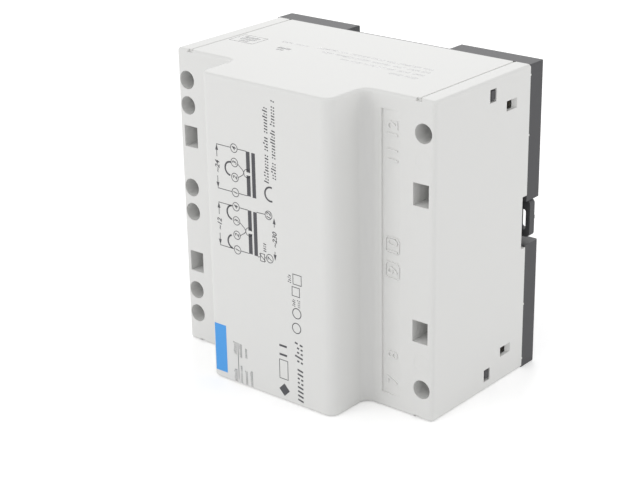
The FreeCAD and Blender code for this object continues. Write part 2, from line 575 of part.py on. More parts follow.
def cut_end_windows(body, side):
    """Snap windows, wire entries and their funnels in one end wall."""
    window = (SNAP_WINDOW_FRONT, f"{SNAP_WINDOW_FRONT} + sizes.snap_window_length")
    shapes = [rectangle(window, span(f"{MIDDLE} + {sign} * {SNAP_OFFSET}",
                                     "sizes.snap_window_height / 2")) for sign in (1, -1)]
    half = "sizes.wire_entry_height / 2"
    places = [f"{MIDDLE} + {offset}" for _, owner, offset in TERMINALS if owner == side]
    shapes += [rectangle((BAR_BACK, CAGE_FLOOR_FRONT), span(place, half)) for place in places]
    wall = towards(side, f"{END_INSIDE} - sizes.end_wall", f"{END} + {OVERCUT}")
    prism(body, "X", wall, shapes, cut=True)
    funnel = [(f"{side} * {END_INSIDE}", BAR_BACK), (f"{side} * {END_INSIDE}", CAGE_FLOOR_FRONT),
              (f"{side} * {END}", f"{CAGE_FLOOR_FRONT} + sizes.funnel_length"),
              (f"{side} * ({END} + {OVERCUT})", f"{CAGE_FLOOR_FRONT} + sizes.funnel_length"),
              (f"{side} * ({END} + {OVERCUT})", BAR_BACK)]
    for place in places:
        prism(body, "Z", span(place, half), [funnel], cut=True)


def add_core_ribs(body):
    """Ribs inside the shell that locate the core from the front and the sides."""
    half_thickness = "sizes.core_rib_thickness / 2"
    front_ribs = []
    side_ribs = []
    for side in (LOW_VOLTAGE_SIGN, MAINS_SIGN):
        across = span(f"{side} * ({CORE_END} - sizes.core_rib_inset)", "sizes.core_rib_length / 2")
        for sign in (1, -1):
            place = f"{MIDDLE} + {sign} * ({CORE_SIDE} - sizes.core_rib_side_inset)"
            front_ribs.append(rectangle(across, span(place, half_thickness)))
        thin = span(f"{side} * ({CORE_END} - sizes.core_rib_inset)", half_thickness)
        core_low = f"{MIDDLE} - {CORE_SIDE} - sizes.seat_gap"
        core_high = f"{MIDDLE} + {CORE_SIDE} + sizes.seat_gap"
        side_ribs.append(rectangle(thin, ("sizes.wall / 2", core_low)))
        side_ribs.append(rectangle(thin, (core_high, f"{WIDTH} - sizes.wall / 2")))
    start = f"{SHOULDER} + sizes.wall / 2"
    prism(body, "Y", (start, f"{CORE_FRONT} - sizes.seat_gap"), front_ribs)
    prism(body, "Y", (start, f"{PLATE_FRONT} - sizes.core_rib_back_gap"), side_ribs)


def make_base():
    """Dark base with the rail channel, fixed hooks, latch guide, snap arms and posts."""
    body = new_body("base")
    plate = rectangle((f"-{CARRIER_OUTER}", CARRIER_OUTER),
                      ("sizes.wall + sizes.fit_gap", f"{WIDTH} - sizes.wall - sizes.fit_gap"))
    prism(body, "Y", (PLATE_FRONT, RAIL_SEAT), [plate])
    fixed_block = rectangle((f"-{LATCH_END}", "-sizes.fixed_edge"), ("0", WIDTH))
    latch_block = rectangle(("sizes.latch_edge", LATCH_END), ("0", WIDTH))
    prism(body, "Y", (SHELL_BACK, BACK), [fixed_block, latch_block])

    def rear_corner(edge):
        middle = edge.CenterOfMass
        outer = is_at(abs(middle.x), LATCH_END)
        return runs_along(edge, "Z") and outer and is_at(middle.y, BACK)

    def side_rim(edge):
        middle = edge.CenterOfMass
        at_side = is_at(middle.z, "0") or is_at(middle.z, WIDTH)
        flat = edge.BoundBox.ZLength < 1e-6
        return flat and at_side and not is_at(middle.y, SHELL_BACK)

    dress(body, "Fillet", "sizes.base_rounding", rear_corner)
    dress(body, "Fillet", "sizes.base_rim_rounding", side_rim)
    lap = "sizes.cell_inner_wall"
    cover = rectangle((f"-sizes.fixed_edge - {lap}", f"sizes.latch_edge + {lap}"), ("0", WIDTH))
    prism(body, "Y", (SHELL_BACK, RAIL_SEAT), [cover])

    high = f"{WIDTH} - sizes.cell_margin"
    guide_half = "(sizes.latch_width / 2 + sizes.guide_gap)"
    solid_half = f"({guide_half} + sizes.guide_wall)"
    cell_end = f"({LATCH_END} - sizes.cell_outer_wall)"
    fixed_cells = (f"-{cell_end}", "-sizes.fixed_edge - sizes.cell_inner_wall")
    latch_cells = ("sizes.latch_edge + sizes.cell_inner_wall", cell_end)
    cells = [rectangle(fixed_cells, ("sizes.cell_margin", f"{MIDDLE} - sizes.cell_rib")),
             rectangle(fixed_cells, (f"{MIDDLE} + sizes.cell_rib", high)),
             rectangle(latch_cells, ("sizes.cell_margin", f"{MIDDLE} - {solid_half}")),
             rectangle(latch_cells, (f"{MIDDLE} + {solid_half}", high))]
    prism(body, "Y", (f"{PLATE_FRONT} - {OVERCUT}", BLOCK_FLOOR), cells, cut=True)

    guide = rectangle((f"{LATCH_FRONT} - sizes.guide_gap", f"{LATCH_BACK} + sizes.guide_gap"),
                      span(MIDDLE, guide_half))
    prism(body, "X", (f"sizes.latch_edge - {OVERCUT}", f"{LATCH_BAY} + {OVERCUT}"), [guide], cut=True)
    spring_groove = rectangle(span(LATCH_MIDDLE, GROOVE_HALF), span(MIDDLE, GROOVE_HALF))
    groove_start = f"{LATCH_WINDOW} - sizes.spring_groove_lead"
    prism(body, "X", (groove_start, LATCH_BAY), [spring_groove], cut=True)
    bay = rectangle((LATCH_BAY, f"{END} + {OVERCUT}"),
                    (f"{MIDDLE} - sizes.latch_width / 2 - sizes.latch_bay_low_gap",
                     f"{MIDDLE} + sizes.latch_width / 2 + sizes.latch_bay_gap"))
    prism(body, "Y", (f"{PLATE_FRONT} - {OVERCUT}", f"{BACK} + {OVERCUT}"), [bay], cut=True)

    post = rectangle((POST_START, POST_END), span(MIDDLE, f"{WINDOW_HALF} - 2 * sizes.guide_gap"))
    prism(body, "Y", span(LATCH_MIDDLE, f"{GROOVE_HALF} + sizes.guide_gap"), [post])

    hook_front = f"({RAIL_SEAT} + sizes.rail_flange + sizes.rail_gap)"
    hook_across = (f"-sizes.fixed_edge - {OVERCUT}", "-sizes.fixed_edge + sizes.hook_reach")
    hook_far = "(sizes.hook_start + sizes.hook_length)"
    hooks = [rectangle(hook_across, (f"{MIDDLE} + sizes.hook_start", f"{MIDDLE} + {hook_far}")),
             rectangle(hook_across, (f"{MIDDLE} - {hook_far}", f"{MIDDLE} - sizes.hook_start"))]
    prism(body, "Y", (hook_front, f"{hook_front} + sizes.hook_thickness"), hooks)
    add_base_posts(body)
    add_snap_arms(body)
    return body


def add_base_posts(body):
    """Posts behind the core, stops beside it and ribs behind the terminal carriers."""
    posts = []
    stops = []
    ribs = []
    for side in (LOW_VOLTAGE_SIGN, MAINS_SIGN):
        post_across = span(f"{side} * ({CORE_END} - sizes.post_inset)", "sizes.post_length / 2")
        stop_start = f"({CORE_END} + sizes.seat_gap)"
        stop_across = towards(side, stop_start, f"{stop_start} + sizes.side_stop_length")
        rib_across = towards(side, f"{CARRIER_INNER} + sizes.well_wall / 2",
                             f"{CARRIER_OUTER} - sizes.well_wall / 2")
        for sign in (1, -1):
            post_place = f"{MIDDLE} + {sign} * ({CORE_SIDE} - sizes.post_side_inset)"
            posts.append(rectangle(post_across, span(post_place, "sizes.post_height / 2")))
            stop_place = f"{MIDDLE} + {sign} * sizes.side_stop_offset"
            stops.append(rectangle(stop_across, span(stop_place, "sizes.side_stop_height / 2")))
            rib_place = f"{MIDDLE} + {sign} * ({CARRIER_HALF} - sizes.carrier_rib_inset)"
            ribs.append(rectangle(rib_across, span(rib_place, "sizes.carrier_rib_thickness / 2")))
    inside_plate = f"{PLATE_FRONT} + sizes.plate_thickness / 2"
    prism(body, "Y", (f"{CORE_BACK} + sizes.seat_gap", inside_plate), posts)
    prism(body, "Y", (f"{CORE_BACK} - sizes.side_stop_lap", f"{BLOCK_FLOOR} + sizes.block_floor / 2"), stops)
    prism(body, "Y", (CARRIER_BACK, inside_plate), ribs)


def add_snap_arms(body):
    """Arms whose noses fill the snap windows of the shell."""
    nose_front = f"({SNAP_WINDOW_FRONT} + sizes.seat_gap)"
    nose_back = f"({nose_front} + sizes.snap_window_length - 2 * sizes.seat_gap)"
    nose_end = f"({END} - sizes.snap_nose_inset)"
    arm_start = f"({CARRIER_OUTER} - sizes.snap_arm_thickness)"
    arm_foot = f"({PLATE_FRONT} + sizes.plate_thickness / 2)"
    for side in (LOW_VOLTAGE_SIGN, MAINS_SIGN):
        corners = [(arm_start, nose_front), (CARRIER_OUTER, nose_front),
                   (nose_end, f"{nose_front} + sizes.snap_nose_slope"), (nose_end, nose_back),
                   (CARRIER_OUTER, nose_back), (CARRIER_OUTER, arm_foot), (arm_start, arm_foot)]
        outline = [(f"{side} * {across}", level) for across, level in corners]
        for sign in (1, -1):
            place = f"{MIDDLE} + {sign} * {SNAP_OFFSET}"
            prism(body, "Z", span(place, "sizes.snap_arm_height / 2"), [outline])


def make_rail_latch():
    """Sliding latch with its nose, spring window and screwdriver slot."""
    body = new_body("rail_latch")
    outer = rectangle((LATCH_NOSE, LATCH_END), span(MIDDLE, "sizes.latch_width / 2"))
    window_end = f"{POST_END} + sizes.latch_stop_gap"
    window = rectangle((LATCH_WINDOW, window_end), span(MIDDLE, WINDOW_HALF))
    slot_end = f"({LATCH_END} - sizes.latch_slot_edge)"
    slot_start = f"({slot_end} - sizes.latch_slot_length)"
    slot = rectangle((slot_start, slot_end),
                     span(f"{MIDDLE} - sizes.latch_slot_shift", "sizes.latch_slot_width / 2"))
    prism(body, "Y", (LATCH_FRONT, LATCH_BACK), [outer, window, slot])

    def tab_corner(edge):
        return runs_along(edge, "Y") and is_at(edge.CenterOfMass.x, LATCH_END)

    def slot_corner(edge):
        across = edge.CenterOfMass.x
        return runs_along(edge, "Y") and (is_at(across, slot_start) or is_at(across, slot_end))

    def nose_edge(edge):
        middle = edge.CenterOfMass
        return runs_along(edge, "Z") and is_at(middle.x, LATCH_NOSE) and is_at(middle.y, LATCH_BACK)

    dress(body, "Fillet", "sizes.latch_tab_rounding", tab_corner)
    dress(body, "Fillet", "sizes.latch_slot_rounding", slot_corner)
    nose_wall = f"({LATCH_WINDOW} - {LATCH_NOSE})"
    dress(body, "Chamfer", f"min(sizes.latch_nose_slope; {nose_wall} / 2)", nose_edge)
    bump = rectangle(span(f"{LATCH_END} - sizes.latch_bump_inset", "sizes.latch_bump_length / 2"),
                     span(MIDDLE, "sizes.latch_bump_width / 2"))
    prism(body, "Y", (LATCH_MIDDLE, f"{LATCH_BACK} + sizes.latch_bump_height"), [bump])
    return body


def make_latch_spring():
    """Compression spring between the latch and the post of the base."""
    wire_radius = amount("sizes.spring_wire_radius")
    radius = amount("sizes.spring_radius")
    start = amount(f"{LATCH_WINDOW} + sizes.spring_end_gap + sizes.spring_wire_radius")
    end = amount(f"{POST_START} - sizes.spring_end_gap - sizes.spring_wire_radius")
    length = end - start
    helix = Part.makeHelix(length / amount("sizes.spring_turns"), length, radius)
    section = Part.Circle(FreeCAD.Vector(radius, 0, 0), FreeCAD.Vector(0, 1, 0), wire_radius)
    coil = Part.Wire(helix).makePipeShell([Part.Wire(section.toShape())], True, True)
    spring = document.addObject("Part::Feature", "latch_spring")
    spring.Shape = coil
    place = FreeCAD.Vector(start, amount(LATCH_MIDDLE), amount(MIDDLE))
    spring.Placement = FreeCAD.Placement(place, FreeCAD.Rotation(FreeCAD.Vector(0, 1, 0), 90))
    return keep(spring, "latch_spring")


def make_core():
    """Sheets of the iron core, laid with the E one way and the other in turn."""
    unit = amount(CORE_UNIT)
    count = round(amount(CORE_STACK) / amount("sizes.sheet_thickness"))
    thickness = amount(CORE_STACK) / count
    middle = amount(MIDDLE)
    yoke_end = amount(CORE_END)
    leg_end = amount(CORE_WINDOW)
    side = amount(CORE_SIDE)
    e_outline = [(-leg_end, -side), (yoke_end, -side), (yoke_end, side), (-leg_end, side),
                 (-leg_end, side - unit), (leg_end, side - unit), (leg_end, unit), (-leg_end, unit),
                 (-leg_end, -unit), (leg_end, -unit), (leg_end, unit - side), (-leg_end, unit - side)]
    i_outline = [(-yoke_end, -side), (-leg_end, -side), (-leg_end, side), (-yoke_end, side)]
    sheets = {"core_e_sheets": e_outline, "core_i_sheets": i_outline}
    for label, outline in sheets.items():
        solids = []
        for number in range(count):
            facing = 1 if number % 2 == 0 else -1
            level = amount(CORE_FRONT) + number * thickness
            points = [FreeCAD.Vector(facing * across, level, middle + along) for across, along in outline]
            face = Part.Face(Part.makePolygon(points + points[:1]))
            solids.append(face.extrude(FreeCAD.Vector(0, thickness, 0)))
        stack = document.addObject("Part::Feature", label)
        stack.Shape = Part.makeCompound(solids)
        keep(stack, label)


def coil_ring(half_y, half_z):
    """Rectangle round the middle leg of the core."""
    return rectangle(span(CORE_MIDDLE, half_y), span(MIDDLE, half_z))


def pin_holes(side):
    """Circles of the winding pins in one flange."""
    offsets = PIN_OFFSETS[side]
    return [(PIN_LEVEL, f"{MIDDLE} + {offset}", "sizes.pin_radius + sizes.pin_gap") for offset in offsets]


def make_bobbin():
    """Two-chamber bobbin round the middle leg."""
    body = new_body("bobbin")
    bore = coil_ring(BORE_HALF_Y, BORE_HALF_Z)
    tube = coil_ring(TUBE_HALF_Y, TUBE_HALF_Z)
    flange = coil_ring(f"{TUBE_HALF_Y} + {WINDING_BUILD} + sizes.flange_margin", FLANGE_HALF_Z)
    prism(body, "X", (f"-{BOBBIN_END}", BOBBIN_END), [tube, bore])
    for stretch in ((f"-{BOBBIN_END}", f"-{CHAMBER_END}"), (f"-{DIVIDER}", DIVIDER),
                    (CHAMBER_END, BOBBIN_END)):
        prism(body, "X", stretch, [flange, bore])
    for side in (LOW_VOLTAGE_SIGN, MAINS_SIGN):
        stretch = towards(side, f"{CHAMBER_END} - {OVERCUT}", f"{BOBBIN_END} + {OVERCUT}")
        prism(body, "X", stretch, pin_holes(side), cut=True)
    return body


def build_outline(build):
    """Outline of the windings at a height above the bobbin's tube, rounder as they grow."""
    corners = coil_ring(f"{TUBE_HALF_Y} + {build}", f"{TUBE_HALF_Z} + {build}")
    return corners if build == "0" else (corners, build)


def make_winding(label, side, inner_build, outer_build):
    """Ring of wound wire or wrap in one chamber, between two heights above the bobbin's tube."""
    body = new_body(label)
    rings = [build_outline(outer_build), build_outline(inner_build)]
    prism(body, "X", towards(side, DIVIDER, CHAMBER_END), rings)
    return body


def make_winding_pins():
    """Pins in the bobbin's flanges that the winding ends are soldered to."""
    pins = []
    radius = amount("sizes.pin_radius")
    length = amount("sizes.bobbin_wall + sizes.pin_length")
    for side, offsets in PIN_OFFSETS.items():
        for offset in offsets:
            start = FreeCAD.Vector(side * amount(CHAMBER_END), amount(PIN_LEVEL),
                                   amount(f"{MIDDLE} + {offset}"))
            pins.append(Part.makeCylinder(radius, length, start, FreeCAD.Vector(side, 0, 0)))
    group = document.addObject("Part::Feature", "winding_pins")
    group.Shape = Part.makeCompound(pins)
    return keep(group, "winding_pins")


def make_thermistor():
    """Disc in the mains circuit, with a leg to its pin and a leg to its lead."""
    body = new_body("thermistor")
    place = f"{MIDDLE} - {OUTER_PIN}"
    disc = (THERMISTOR_REACH, place, "sizes.thermistor_radius")
    prism(body, "Y", span(PIN_LEVEL, "sizes.thermistor_thickness / 2"), [disc])
    prism(body, "X", (PIN_TIP, THERMISTOR_TIP), [(PIN_LEVEL, place, "sizes.pin_radius")])
    return body


def rounded_path(points):
    """Wire of straight runs joined by arcs as large as the runs allow."""
    edges = []
    start = points[0]
    for before, corner, after in zip(points, points[1:], points[2:]):
        back = (before - corner).normalize()
        ahead = (after - corner).normalize()
        turn = math.pi - back.getAngle(ahead)
        shorter = min((before - corner).Length, (after - corner).Length)
        trim = ARC_SHARE * shorter
        radius = trim / math.tan(turn / 2)
        entry = corner + back * trim
        leave = corner + ahead * trim
        inward = (back + ahead).normalize()
        centre = corner + inward * math.hypot(radius, trim)
        crown = centre - inward * radius
        edges.append(Part.LineSegment(start, entry).toShape())
        edges.append(Part.Arc(entry, crown, leave).toShape())
        start = leave
    edges.append(Part.LineSegment(start, points[-1]).toShape())
    return Part.Wire(edges)


def make_lead(label, side, start_reach, pin_offset, terminal_offset):
    """Wire from a pin, or from the thermistor, to the back of a contact bar."""
    first = amount(start_reach)
    start_level = amount(PIN_LEVEL)
    end_level = amount(LEAD_LEVEL)
    start_height = amount(f"{MIDDLE} + {pin_offset}")
    end_height = amount(f"{MIDDLE} + {terminal_offset}")
    bend = amount(LEAD_BEND)
    run = min(amount("sizes.lead_first_run"), (bend - first) / 2)
    last = amount(f"{CARRIER_INNER} - sizes.lead_end_gap")
    points = [FreeCAD.Vector(side * first, start_level, start_height),
              FreeCAD.Vector(side * (first + run), start_level, start_height),
              FreeCAD.Vector(side * bend, end_level, end_height),
              FreeCAD.Vector(side * last, end_level, end_height)]
    path = rounded_path(points)
    section = Part.Circle(points[0], FreeCAD.Vector(1, 0, 0), amount("sizes.lead_radius"))
    lead = document.addObject("Part::Feature", label)
    lead.Shape = path.makePipeShell([Part.Wire(section.toShape())], True, True)
    return keep(lead, label)


def make_carrier(label, side):
    """Moulded block with six chambers for clamp cages, open towards the end wall."""
    body = new_body(label)
    section = rectangle(towards(side, CARRIER_INNER, CARRIER_OUTER), (CARRIER_FRONT, CARRIER_BACK))
    prism(body, "Z", span(MIDDLE, CARRIER_HALF), [section])
    across = towards(side, CHAMBER_START, f"{CARRIER_OUTER} + {OVERCUT}")
    places = [f"{MIDDLE} + {offset}" for offset in TERMINAL_OFFSETS]
    chambers = [rectangle(across, span(place, f"{CHAMBER_WIDTH} / 2")) for place in places]
    prism(body, "Y", (CHAMBER_FRONT, CHAMBER_BACK), chambers, cut=True)
    radius = "sizes.screw_radius + sizes.screw_hole_gap"
    holes = [(f"{side} * {TERMINAL_REACH}", place, radius) for place in places]
    prism(body, "Y", (f"{CARRIER_FRONT} - {OVERCUT}", f"{CHAMBER_FRONT} + {OVERCUT}"), holes, cut=True)
    slots = [rectangle((BAR_FRONT, BAR_BACK), span(place, "sizes.bar_width / 2")) for place in places]
    inner_wall = towards(side, f"{CARRIER_INNER} - {OVERCUT}", f"{CHAMBER_START} + {OVERCUT}")
    prism(body, "X", inner_wall, slots, cut=True)
    return body


def set_on_terminal(body, side, offset):
    """Moves a piece modelled on its own screw axis to its terminal."""
    body.setExpression("Placement.Base.x", f"{side} * {TERMINAL_REACH}")
    body.setExpression("Placement.Base.z", f"{MIDDLE} + {offset}")


def make_cage(number, side, offset):
    """Clamp cage that rises towards the contact bar as its screw turns."""
    body = new_body(f"terminal_{number}_cage")
    outer = rectangle((CAGE_ROOF_FRONT, f"{CAGE_FLOOR_FRONT} + sizes.cage_floor"),
                      span("0", f"{CAGE_WIDTH} / 2"))
    inner = rectangle((CAGE_ROOF_BACK, CAGE_FLOOR_FRONT),
                      span("0", f"{CAGE_WIDTH} / 2 - sizes.cage_wall"))
    prism(body, "X", span("0", "sizes.cage_length / 2"), [outer, inner])
    hole = ("0", "0", "sizes.screw_radius + sizes.thread_gap")
    prism(body, "Y", (f"{CAGE_ROOF_FRONT} - {OVERCUT}", f"{CAGE_ROOF_BACK} + {OVERCUT}"), [hole], cut=True)
    set_on_terminal(body, side, offset)
    return body


def make_screw(number, side, offset):
    """Slotted terminal screw whose end bears on the contact bar."""
    body = new_body(f"terminal_{number}_screw")
    head_back = f"({CARRIER_FRONT} - sizes.seat_gap)"
    head_front = f"({head_back} - sizes.screw_head_height)"
    tip = f"({BAR_FRONT} - sizes.thread_gap)"
    half_section = [("0", head_front), ("sizes.screw_head_radius", head_front),
                    ("sizes.screw_head_radius", head_back), ("sizes.screw_radius", head_back),
                    ("sizes.screw_radius", tip), ("0", tip)]
    sketch = new_sketch(body, "Z", "0", [half_section])
    turned = body.newObject("PartDesign::Revolution", f"{body.Label}_revolution")
    turned.Profile = sketch
    turned.ReferenceAxis = (sketch, ["V_Axis"])
    turned.Angle = 360
    sketch.Visibility = False
    slot = rectangle(span("0", "sizes.screw_slot_width / 2"), span("0", "2 * sizes.screw_head_radius"))
    prism(body, "Y", (f"{head_front} - {OVERCUT}", f"{head_front} + sizes.screw_slot_depth"), [slot],
          cut=True)
    set_on_terminal(body, side, offset)
    return body


def make_bar(number, side, offset):
    """Contact bar through the cage, with a tail for its lead."""
    bar = document.addObject("Part::Box", f"terminal_{number}_bar")
    left, _ = towards(side, BAR_INNER, BAR_OUTER)
    bar.setExpression("Length", f"{BAR_OUTER} - {BAR_INNER}")
    bar.setExpression("Width", "sizes.bar_thickness")
    bar.setExpression("Height", "sizes.bar_width")
    bar.setExpression("Placement.Base.x", left)
    bar.setExpression("Placement.Base.y", BAR_FRONT)
    bar.setExpression("Placement.Base.z", f"{MIDDLE} + {offset} - sizes.bar_width / 2")
    return keep(bar, f"terminal_{number}_bar")


def ink_field(left, right, low, high):
    """Thin printed rectangle on the front face."""
    thickness = amount("sizes.ink_thickness")
    corner = FreeCAD.Vector(left, amount(FRONT) - thickness, low)
    return Part.makeBox(right - left, thickness, high - low, corner)


def ink_circle(across, along):
    """Thin printed circle line on the front face."""
    thickness = amount("sizes.ink_thickness")
    radius = amount("sizes.circle_radius")
    centre = FreeCAD.Vector(across, amount(FRONT) - thickness, along)
    direction = FreeCAD.Vector(0, 1, 0)
    disc = Part.makeCylinder(radius, thickness, centre, direction)
    return disc.cut(Part.makeCylinder(radius - amount("sizes.ink_line"), thickness, centre, direction))


def make_front_print():
    """Wiring diagram: bars for the windings, circles for the terminals, lines for the voltages."""
    step = amount("sizes.diagram_step")
    line = amount("sizes.ink_line")
    first_bar = amount("sizes.coil_bar_left")
    bar_width = amount("sizes.coil_bar_width")
    second_bar = first_bar + bar_width + amount("sizes.coil_bar_gap")
    column = amount("sizes.circle_column")
    voltage_line = amount("sizes.voltage_column")
    solids = []
    for foot in (amount("sizes.upper_diagram_foot"), amount("sizes.lower_diagram_foot")):
        top = foot + 3 * step
        half_gap = amount("sizes.coil_break / 2")
        middle = foot + 1.5 * step
        solids.append(ink_field(first_bar, first_bar + bar_width, foot, middle - half_gap))
        solids.append(ink_field(first_bar, first_bar + bar_width, middle + half_gap, top))
        solids.append(ink_field(second_bar, second_bar + bar_width, foot, top))
        solids += [ink_circle(column, foot + place * step) for place in range(4)]
        solids.append(ink_field(voltage_line, voltage_line + line, foot, top))
    mains = amount("sizes.mains_column")
    foot = amount("sizes.lower_diagram_foot")
    solids += [ink_circle(mains, foot), ink_circle(mains, foot + 3 * step)]
    mains_line = amount("sizes.mains_voltage_column")
    solids.append(ink_field(mains_line, mains_line + line, foot, foot + 3 * step))
    diagram = document.addObject("Part::Feature", "diagram_print")
    diagram.Shape = Part.makeCompound(solids)
    keep(diagram, "diagram_print")

    bar = document.addObject("Part::Box", "colour_bar")
    bar.setExpression("Length", "sizes.colour_bar_width")
    bar.setExpression("Width", "sizes.ink_thickness")
    bar.setExpression("Height", "sizes.colour_bar_height")
    bar.setExpression("Placement.Base.x", f"sizes.colour_bar_inset - {RAISED}")
    bar.setExpression("Placement.Base.y", f"{FRONT} - sizes.ink_thickness")
    bar.setExpression("Placement.Base.z", "sizes.colour_bar_foot")
    keep(bar, "colour_bar")


def check_features(body):
    """Stops if a pad adds nothing or a pocket cuts nothing."""
    volume = 0.0
    for feature in body.Group:
        if not feature.isDerivedFrom("PartDesign::Feature"):
            continue
        change = feature.Shape.Volume - volume
        cuts = feature.isDerivedFrom("PartDesign::Pocket")
        adds = feature.isDerivedFrom("PartDesign::Pad")
        if (cuts and change >= 0) or (adds and change <= 0):
            raise RuntimeError(f"{feature.Label} changes the volume by {change:.3f}")
        volume = feature.Shape.Volume


def write_pieces():
    """Checks every object and writes each piece to its own file."""
    for item in document.Objects:
        if "Invalid" in item.State or "Error" in item.State:
            raise RuntimeError(f"{item.Label} failed: {item.State}")
    for piece in pieces:
        if piece.Shape.isNull() or not piece.Shape.isValid():
            raise RuntimeError(f"{piece.Label} has no valid shape")
        if piece.isDerivedFrom("PartDesign::Body"):
            check_features(piece)
    for piece in pieces:
        piece.Shape.exportStep(os.path.join("parts", f"{piece.Label}.step"))
        print(f"{piece.Label}: {len(piece.Shape.Solids)} solids, {piece.Shape.Volume:.1f} mm3")


make_housing()
make_base()
make_rail_latch()
make_latch_spring()
make_core()
make_bobbin()
make_winding("primary_winding", MAINS_SIGN, "0", WOUND_BUILD)
make_winding("primary_tape", MAINS_SIGN, WOUND_BUILD, WINDING_BUILD)
make_winding("secondary_winding_inner", LOW_VOLTAGE_SIGN, "0", "sizes.inner_winding_build")
make_winding("secondary_winding_outer", LOW_VOLTAGE_SIGN, "sizes.inner_winding_build", WOUND_BUILD)
make_winding("secondary_tape", LOW_VOLTAGE_SIGN, WOUND_BUILD, WINDING_BUILD)
make_winding_pins()
make_thermistor()
make_carrier("secondary_terminal_carrier", LOW_VOLTAGE_SIGN)
make_carrier("primary_terminal_carrier", MAINS_SIGN)
for terminal_number, terminal_side, terminal_offset in TERMINALS:
    make_cage(terminal_number, terminal_side, terminal_offset)
    make_screw(terminal_number, terminal_side, terminal_offset)
    make_bar(terminal_number, terminal_side, terminal_offset)
for place, terminal_number in enumerate((1, 2, 3, 4)):
    make_lead(f"secondary_lead_{terminal_number}", LOW_VOLTAGE_SIGN, PIN_TIP,
              PIN_OFFSETS[LOW_VOLTAGE_SIGN][place], TERMINAL_OFFSETS[-terminal_number])
make_lead("primary_lead_7", MAINS_SIGN, THERMISTOR_TIP, f"-{OUTER_PIN}", f"-{OUTER_HIGH}")
make_lead("primary_lead_12", MAINS_SIGN, PIN_TIP, OUTER_PIN, OUTER_HIGH)
make_front_print()
document.recompute()
write_pieces()
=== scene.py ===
"""Looks of a doorbell transformer for a 35 mm rail.

The finishes, the print, the moulded marks and the screws are made here, round the pieces of the frame.
Places are in the frame's axes: X towards the mains end, Y from the front to the rail, Z along the rail.
Tables of places are in millimetres and everything that is built is in metres.
"""
import math
import random

import bmesh
import bpy
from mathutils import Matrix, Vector


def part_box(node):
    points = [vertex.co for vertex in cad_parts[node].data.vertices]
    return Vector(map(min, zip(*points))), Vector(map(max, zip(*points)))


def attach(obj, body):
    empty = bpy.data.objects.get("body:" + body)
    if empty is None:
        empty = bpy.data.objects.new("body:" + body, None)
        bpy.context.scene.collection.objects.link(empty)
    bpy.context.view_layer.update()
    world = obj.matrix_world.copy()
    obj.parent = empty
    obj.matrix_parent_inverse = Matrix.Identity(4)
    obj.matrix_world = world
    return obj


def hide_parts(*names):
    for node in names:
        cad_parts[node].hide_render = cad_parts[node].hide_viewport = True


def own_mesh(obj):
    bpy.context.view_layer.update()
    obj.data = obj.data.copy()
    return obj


bl_info = {
    "name": "Doorbell Transformer Looks",
    "version": (1, 0, 0),
    "blender": (4, 5, 0),
    "location": "3D View > Sidebar > Transformer",
    "description": "Finishes, print, moulded marks, screws and stage of a rail-mounted doorbell transformer",
    "category": "Object",
}

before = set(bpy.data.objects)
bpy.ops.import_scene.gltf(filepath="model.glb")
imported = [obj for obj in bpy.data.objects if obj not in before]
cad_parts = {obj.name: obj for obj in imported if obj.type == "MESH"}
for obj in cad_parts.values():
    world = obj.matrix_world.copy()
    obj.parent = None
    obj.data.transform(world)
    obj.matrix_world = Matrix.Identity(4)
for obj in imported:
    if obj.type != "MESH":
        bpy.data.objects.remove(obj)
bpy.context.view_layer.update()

MM = 0.001
LOW_VOLTAGE_SIDE = -1
MAINS_SIDE = 1

# Faces of the frame that print and marks lie on, in millimetres.
SHELL_LOW, SHELL_HIGH = [[value / MM for value in corner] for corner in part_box("housing")]
FRONT_FACE = SHELL_LOW[1]
SHELL_BACK = SHELL_HIGH[1]
TERMINAL_END = SHELL_HIGH[0]
WIDTH = SHELL_HIGH[2]
SHOULDER_SETBACK = 14.5
SHOULDER = FRONT_FACE + SHOULDER_SETBACK

# Number strip on each shoulder: it slopes from its deep inner side to nothing at its outer side.
STRIP_START = 27.9
STRIP_END = 34.0
STRIP_DEPTH = 0.6
NUMBER_COLUMN = 31.5
NUMBER_ROWS = (80.7, 73.3, 48.3, 41.1, 16.5, 8.9)
FRAMED_NUMBERS = (10, 9)

# Frame round a moulded number: half its size across and along, its cut corners and its line.
FRAME_HALF_ACROSS = 2.35
FRAME_HALF_ALONG = 2.2
FRAME_CUT = 0.6
FRAME_LINE = 0.25

# Rings that the ejector pins leave on the mains shoulder.
EJECTOR_COLUMN = 41.35
EJECTOR_ROWS = (73.5, 16.5)
EJECTOR_RADIUS = 2.7
EJECTOR_LINE = 0.22
EJECTOR_HEIGHT = 0.025

# Nubs on the back edge of the shell, with their two sides counted from the end of the shell.
NUB_ROWS = (87.1, 70.1, 19.9, 2.9)
NUB_SIDES = (0.25, 0.02)
NUB_HALF_LENGTH = 0.3
NUB_HEIGHT = 0.32

# Screws: the number of each terminal and the side that it is on.
LOW_VOLTAGE_TERMINALS = (6, 5, 4, 3, 2, 1)
MAINS_TERMINALS = (12, 7)

# Printed diagram, in millimetres on the front face.
CIRCLE_COLUMN = -10.65
FIRST_BAR = (-6.35, -5.05)
SECOND_BAR = (-4.4, -3.15)
VOLTAGE_COLUMN = -17.0
UPPER_CIRCLES = (70.7, 66.65, 62.4, 58.1)
LOWER_CIRCLES = (54.0, 49.9, 45.7, 41.4)
MAINS_CIRCLES = (54.2, 41.7)
MAINS_COLUMN = 1.1
MAINS_VOLTAGE_COLUMN = 3.05
MAINS_VOLTAGE_ENDS = (41.6, 53.8)
THERMISTOR_SYMBOL = (-1.5, 41.4)
THERMISTOR_HALF = (0.75, 1.1)
THERMISTOR_STROKE = (1.1, 0.9)
NUMBER_BOLDNESS = 0.01

# Half of the first bar's break, and how much lower the second bar's foot and top are than the first's.
BAR_BREAK = 0.45
SECOND_BAR_DROPS = (0.1, 0.05)

